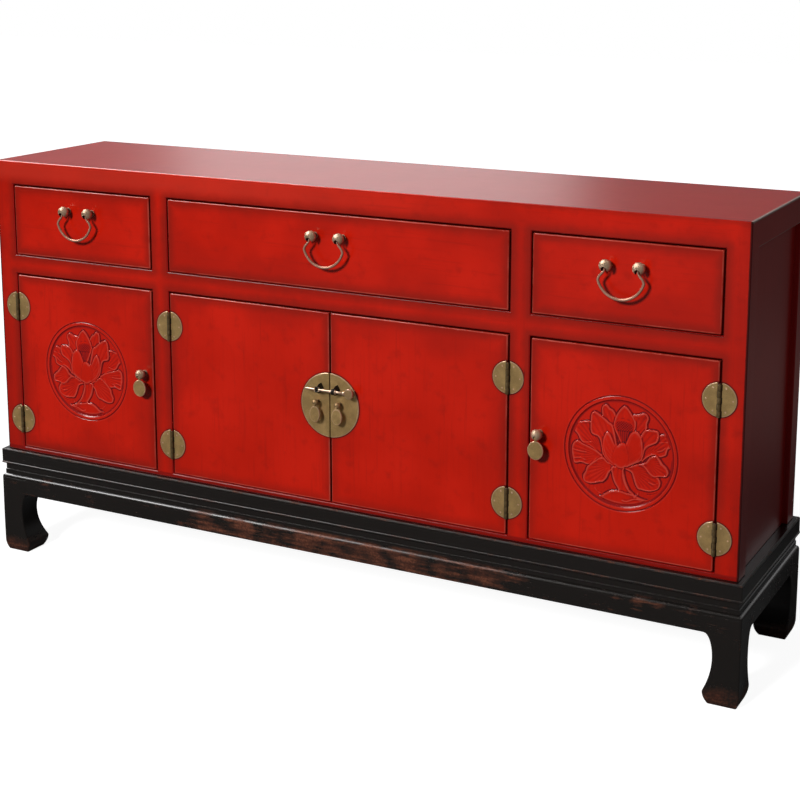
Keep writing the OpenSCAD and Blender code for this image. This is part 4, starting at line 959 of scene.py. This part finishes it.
def post(x, z, foot, reach, radius, deep, slot=2.8):
    """A turned shank and a round head. The head's slices at y = middle - deep * cos a are circles of
    radius R * sin a, cut open from below by a slot: walls at x = -slot and slot, roof a little under the
    middle, both less near the poles."""
    turn = np.linspace(0.1, np.pi - 0.1, 30)[:, None]
    size = radius * np.sin(turn)
    half = np.minimum(slot, 0.85 * size)
    roof = np.minimum((0.02 if slot > 3 else 0.16) * radius, 0.45 * size)
    start = np.arcsin(half / size)
    swing = start + (2 * np.pi - 2 * start) * np.linspace(0, 1, 49)
    wall = -roof + (roof - size * np.cos(start)) * np.array([0.97, 0.6, 0.25, 0.0])
    across = np.concatenate([size * np.sin(swing), -half + 0 * wall, half + 0 * wall], axis=1)
    level = np.concatenate([-size * np.cos(swing), wall, wall[:, ::-1]], axis=1)
    rows = np.stack([x + across, foot - reach - deep * np.cos(turn) + 0 * across, z + level], axis=-1)
    k = radius / BALL_RADIUS
    profile = [(0, 5.4 * k), (-0.4, 6.6 * k), (-1.3, 6.8 * k), (-2.2, 6.4 * k), (-2.7, 5.0 * k),
               (-5, 4.4 * k), (-reach, 4.4 * k)]
    # Painted shade: the stem darker towards the head, and the slot's walls near black
    shank = turned(profile, (x, foot, z), 1, wear_and_painted_light=[-0.2, 0, 0, -0.3, -0.8, -0.8, -0.8])
    return [shell(rows, wear_and_painted_light=np.broadcast_to(np.repeat([0.0, -1.0], [49, 8]), across.shape)), shank]


def bail_path():
    """The wire's middle line: from the pivot in one head down out of its slot, out in a small hook, round
    an arc of radius 42.8 and back the same way mirrored. Points (x, z) about the pivot's height and the
    middle between the posts."""
    hook = [(30, 1.0), (30.2, -1.6), (31.6, -4.8), (34.8, -8.4), (38.9, -13.2), (41.34, -19.08)]
    hook = smooth_line(hook, False, 6)[:-1]
    turn = np.linspace(np.radians(15), np.radians(165), 57)
    arc = np.stack([BAIL_RADIUS * np.cos(turn), -BAIL_RADIUS * np.sin(turn) - 8], axis=1)
    return np.concatenate([hook, arc, hook[::-1] * (-1, 1)])


def wire(path, radius, around=20):
    """A round wire along a line in the plane of the drawer, n across the line:
    p = path + radius * (cos t * n + sin t * Y)."""
    tangent = np.gradient(path, axis=0)
    tangent /= np.linalg.norm(tangent, axis=1, keepdims=True)
    normal = np.stack([-tangent[:, 1], tangent[:, 0]], axis=1)
    t = np.linspace(0, 2 * np.pi, around, endpoint=False)
    flat = path[:, None] + (radius[:, None] * np.cos(t))[..., None] * normal[:, None]
    return np.stack([flat[..., 0], radius[:, None] * np.sin(t), flat[..., 1]], axis=-1)


for bay, (x0, x1) in BAYS.items():
    posts = [post((x0 + x1 + side * POST_GAP) / 2, BAIL_HEIGHT, FRONT, HEAD_REACH, BALL_RADIUS, 10.0, 5.0)
             for side in (-1, 1)]
    split_sharp(make_piece(f"{bay}_pull_slotted_posts", sum(posts, []), f"{bay}_drawer", BALL_BRASS,
                           f"{bay}_pull_posts"))
    path = bail_path()
    share = np.linspace(-1, 1, len(path))
    radius = WIRE_RADIUS * np.clip((1.02 - abs(share)) / 0.3, 0.72, 1) + 0.4 * np.cos(share * np.pi / 2) ** 2
    radius[[0, -1]] = 0.8
    rows = wire(path, radius) + ((x0 + x1) / 2, PIVOT_FRONT, BAIL_HEIGHT - PIVOT_DOWN)
    # Painted highlight along the side of the wire that faces out from the drawer, and painted shade on the rest
    front = np.clip(-np.sin(np.linspace(0, 2 * np.pi, rows.shape[1], endpoint=False)), 0, 1)
    wear_and_painted_light = 1.3 * front ** 5 - 0.45 + 0 * radius[:, None]
    make_piece(f"{bay}_bail_wire", [shell(rows, wear_and_painted_light=wear_and_painted_light)], f"{bay}_bail", WIRE_BRASS, f"{bay}_bail")


# Door pulls and lock. Each door has a ball-headed post with an oval brass drop; those of the middle doors
# stand on the two halves of a round lock plate, whose eyes take a sliding rod with an oval finger grip.

ROD_BRASS = aged_brass("rod_brass", (0.460, 0.290, 0.140), (0.320, 0.200, 0.090), (0.66, 0.47, 0.34),
                       0.42, 0.6)
PLATE_THICK, SMALL_X, SMALL_Z, SMALL_REACH, SMALL_SIZE = 1.5, 24.0, 437.0, 13.0, 12.0
SIDE_PULL = 432.0, 440.0
# Each drop: the place of its head, the head's reach and size, and half the drop's width and height
PULLS = {"left": (-SIDE_PULL[0], SIDE_PULL[1], HEAD_REACH, HEAD_SIZE, 15.0, 17.0),
         "right": (*SIDE_PULL, HEAD_REACH, HEAD_SIZE, 15.0, 17.0),
         "centre_left": (-SMALL_X, SMALL_Z, PLATE_THICK + SMALL_REACH, SMALL_SIZE, 11.0, 15.5),
         "centre_right": (SMALL_X, SMALL_Z, PLATE_THICK + SMALL_REACH, SMALL_SIZE, 11.0, 15.5)}
ROD_FRONT, ROD_HEIGHT, LUG_X, LUG_BORE = -191.0, 464.0, 18.0, 2.75


def oval(half_width, half_height):
    """An ellipse, as a function of the inset."""
    turn = np.linspace(0, 2 * np.pi, 56, endpoint=False)[:, None]
    size = np.array([half_width, half_height])
    return lambda inset: (size - inset) * np.concatenate([np.cos(turn), np.sin(turn)], axis=1)


def drop(x, pivot_y, pivot_z, middle_z, half_width, half_height):
    """An oval plate with eased rims, a neck that narrows upwards, w = 1.9 + 3.7 * (1 - t)^3, and an eye
    round the pivot."""
    front = plate(oval(half_width, half_height), 3.0, x, middle_z, y=pivot_y + 1.5, bevel=1.1)
    rise, turn = np.linspace(0, 1, 8)[:, None], np.linspace(0, 2 * np.pi, 20, endpoint=False)
    width = 1.9 + 3.7 * (1 - rise) ** 3
    low, high = middle_z + half_height - 2.5, pivot_z - 0.8
    neck = np.stack([x + width * np.cos(turn), pivot_y + 1.3 * np.sin(turn) + 0 * rise,
                     low + (high - low) * rise + 0 * turn], axis=-1)
    # Painted shade: the eye is dark at both ends, where it sits in the head's slot
    eye = turned([(-2.45, 1.9), (-2.45, 2.6), (-2.0, 3.0), (2.0, 3.0), (2.45, 2.6), (2.45, 1.9)],
                 (x, pivot_y, pivot_z), 0, 24, wear_and_painted_light=[-0.8, -0.3, 0.2, 0.2, -0.3, -0.8])
    return [front, shell(neck), eye]


def lug(x, half_width, outer, gap, spin, wear_and_painted_light):
    """A ring round the rod's axis, (y, z) = r * (-cos t, sin t), with an outer and an inner arc, open by
    gap degrees on each side of the direction spin."""
    turn = np.radians(np.linspace(gap, 360 - gap, 44) + spin)
    arc = np.stack([-np.cos(turn), np.sin(turn)], axis=1)
    rows = np.stack([np.concatenate([(outer - ease) * arc, (LUG_BORE + ease) * arc[::-1]])
                     for ease in (0.4, 0, 0, 0.4)])
    level = np.array([-half_width, 0.3 - half_width, half_width - 0.3, half_width])[:, None]
    y, z = ROD_FRONT + rows[..., 0], ROD_HEIGHT + rows[..., 1]
    return shell(np.stack([x + level + 0 * y, y, z], axis=-1), wear_and_painted_light=wear_and_painted_light)


def lock_fittings(sign):
    """The lug of one door, its foot on the plate, and the small slotted head that carries the drop. The
    left lug is open to the front, so that the rod can leave it."""
    x = sign * LUG_X
    gap, spin = (62, 0) if sign < 0 else (2, 180)
    foot = FRONT - PLATE_THICK
    diamond = np.array([(5.2, 0), (0, 9.5), (-5.2, 0), (0, -9.5)])
    # Painted shade: the lug and its diamond foot are near black
    return [lug(x, 3.2, 5.6, gap, spin, -1.0), lug(x - 4.2, 1.0, 4.0, gap, spin, 0.9),
            lug(x + 4.2, 1.0, 4.0, gap, spin, 0.9),
            plate(lambda inset: diamond * (1 - inset / 5), foot - ROD_FRONT - 2.8, x, ROD_HEIGHT,
                  y=foot + 0.2, bevel=1.2, shade=-1.0),
            *post(sign * SMALL_X, SMALL_Z, foot, SMALL_REACH, SMALL_SIZE / 2, 6.0)]


for door, (x, z, out, head, half_width, half_height) in PULLS.items():
    pivot_y, pivot_z = FRONT - out - head / 5, z - head / 4
    middle_z = z - head / 2 - 0.6 - half_height
    make_piece(f"{door}_oval_drop", drop(x, pivot_y, pivot_z, middle_z, half_width, half_height),
               f"{door}_drop", PLATE_BRASS, f"{door}_drop")
for side, sign, door in (("left", -1, "centre_left"), ("right", 1, "centre_right")):
    x, z = PULLS[side][:2]
    # Painted shade: the pin in the head's slot is dark
    pin = turned([(-3.2, 1.3), (3.2, 1.3)], (x, PIVOT_FRONT, z - PIVOT_DOWN), 0, 16, wear_and_painted_light=-0.6)
    split_sharp(make_piece(f"{side}_door_slotted_post", post(x, z, FRONT, HEAD_REACH, 10.0, 10.0) + [pin],
                           f"{side}_door", BALL_BRASS, f"{side}_door_post"))
    split_sharp(make_piece(f"{side}_lock_lug_and_head", lock_fittings(sign), f"{door}_door", ROD_BRASS,
                           f"{side}_lock_studs"))
    half_plate = plate(cut_circle(PLATE_RADIUS, 1.0, sign, 90), PLATE_THICK, 0, PLATE_HEIGHT, bevel=1.2,
                       seam=3.0)
    make_piece(f"{side}_lock_half_plate", [half_plate], f"{door}_door", PLATE_BRASS, f"{side}_lock_plate")

# Along the rod: (distance, radius, rub), dark where it bears in the lugs
ROD = [(-44, 0.8, 0.6), (-43.6, 1.9, 1), (-42.8, 2.3, 1), (-22.4, 2.3, 1), (-21.6, 2.3, -1), (-14.4, 2.3, -1),
       (-13.6, 2.3, 1), (13.6, 2.3, 1), (14.4, 2.3, -1), (21.6, 2.3, -1), (22.4, 2.3, 1), (38, 2.3, 1),
       (38.1, 3.3, 1), (38.6, 3.7, 1), (41.6, 3.7, 1), (42.2, 3.3, 0.8), (42.4, 1, 0.5)]
make_piece("lock_rod_with_grip",
           [turned([p[:2] for p in ROD], (0, ROD_FRONT, ROD_HEIGHT), 0, 20, wear_and_painted_light=[p[2] for p in ROD]),
            plate(oval(9.0, 10.0), 4.6, 51.0, ROD_HEIGHT, y=ROD_FRONT + 2.3, bevel=1.3)],
           "lock_rod", ROD_BRASS, "lock_rod")


# The room: a pale floor, a large soft lamp high on the left and a dim pale surround. The camera sees
# white; metal and lacquer mirror a low pale band behind the cabinet, a bright patch overhead and a dim
# one beside it.


def room():
    """The surround: white to the camera, pale patches in mirrors, and a little light on dull surfaces."""
    world = bpy.data.worlds.new("room")
    bpy.context.scene.world = world
    world.use_nodes = True
    world.cycles.sampling_method = "NONE"
    paint = Paint("room", world.node_tree)
    x, y, z = paint.axes(paint.node("ShaderNodeTexCoord").out("Generated"))
    rays = paint.node("ShaderNodeLightPath")
    mirrored = rays.out("Is Glossy Ray").most(rays.out("Is Transmission Ray"))
    bright = 0.195 + x.step(-0.590, -0.565) * x.step(-0.350, -0.380) * 1.03
    behind = z.step(-0.05, 0.1) * z.step(0.5, 0.3) * y.step(-0.1, 0.5) * bright
    over = z.step(0.5, 0.7) * (0.3 + x.step(-0.36, -0.6) * z.step(0.93, 0.84) * 19)
    beside = x.step(0.02, 0.10) * y.step(0.6, 0.8) * z.step(0.20, 0.28) * z.step(0.5, 0.42) * 1.3
    seen = 0.03 + behind + over + beside
    strength = rays.out("Is Camera Ray") + mirrored * seen + rays.out("Is Diffuse Ray") * 0.09
    light = paint.node("ShaderNodeBackground", None, {"Color": (1.0, 1.0, 1.0), "Strength": strength})
    paint.show(light, "ShaderNodeOutputWorld")


def floor_finish():
    """To the camera a glowing white over a grey that catches the lamp's light, so that the cabinet's shadow
    shows; to other rays dark, with a faint glow far behind the cabinet."""
    paint = Paint("floor")

    def both(grey, colour):
        return paint.node("ShaderNodeAddShader", None, {
            0: paint.node("ShaderNodeBsdfDiffuse", None, {"Color": grey}),
            1: paint.node("ShaderNodeEmission", None, {"Color": colour, "Strength": 1.0})})

    x, y, _ = paint.axes(paint.place())
    away = ((abs(x) - 850).most(0) ** 2 + (abs(y) - 250).most(0) ** 2) ** 0.5
    white = paint.mix(away.step(300, 1800), (0.93, 0.93, 0.93), (1.1, 1.1, 1.1))
    far = y.step(900, 1700) * (1 - y.step(2000, 3200) * 0.6)
    glow = paint.mix(far, (0.0, 0.0, 0.0), (0.080, 0.060, 0.055))
    seen = paint.node("ShaderNodeLightPath").out("Is Camera Ray")
    return paint.show(paint.node("ShaderNodeMixShader", None, {
        0: seen, 1: both((0.15, 0.15, 0.15), glow), 2: both((0.40, 0.40, 0.40), white)}))


room()
floor_mesh = bpy.data.meshes.new("floor")
floor_mesh.from_pydata([(-14, -14, 0), (14, -14, 0), (14, 14, 0), (-14, 14, 0)], [], [(0, 1, 2, 3)])
floor_mesh.materials.append(floor_finish())
floor = bpy.data.objects.new("floor", floor_mesh)
bpy.context.scene.collection.objects.link(floor)


def soft_lamp(name, azimuth, elevation, away, size, power):
    """A round lamp that looks at the cabinet's middle from azimuth and elevation in degrees."""
    lamp = bpy.data.lights.new(name, "AREA")
    lamp.shape, lamp.size, lamp.energy = "DISK", size, power
    az, el = np.radians([azimuth, elevation])
    place = bpy.data.objects.new(name, lamp)
    place.location = (away * np.sin(az) * np.cos(el), -0.17 - away * np.cos(az) * np.cos(el),
                      0.5 + away * np.sin(el))
    place.rotation_euler = (np.pi / 2 - el, 0, az)
    place.visible_glossy = False
    bpy.context.scene.collection.objects.link(place)


soft_lamp("window_lamp", -4.5, 27, 6.0, 1.1, 335)
bpy.context.scene.view_settings.view_transform = "Standard"

# The camera stands where the photograph's did, a little above the top board.
view = bpy.data.cameras.new("camera")
view.lens, view.sensor_width, view.shift_y = 73.418, 36, -0.19
camera = bpy.data.objects.new("camera", view)
camera.location = (1.5161, -2.7502, 1.3066)
camera.rotation_euler = (np.radians(90 - 10.830), 0, np.radians(27.919))
bpy.context.scene.collection.objects.link(camera)
bpy.context.scene.camera = camera
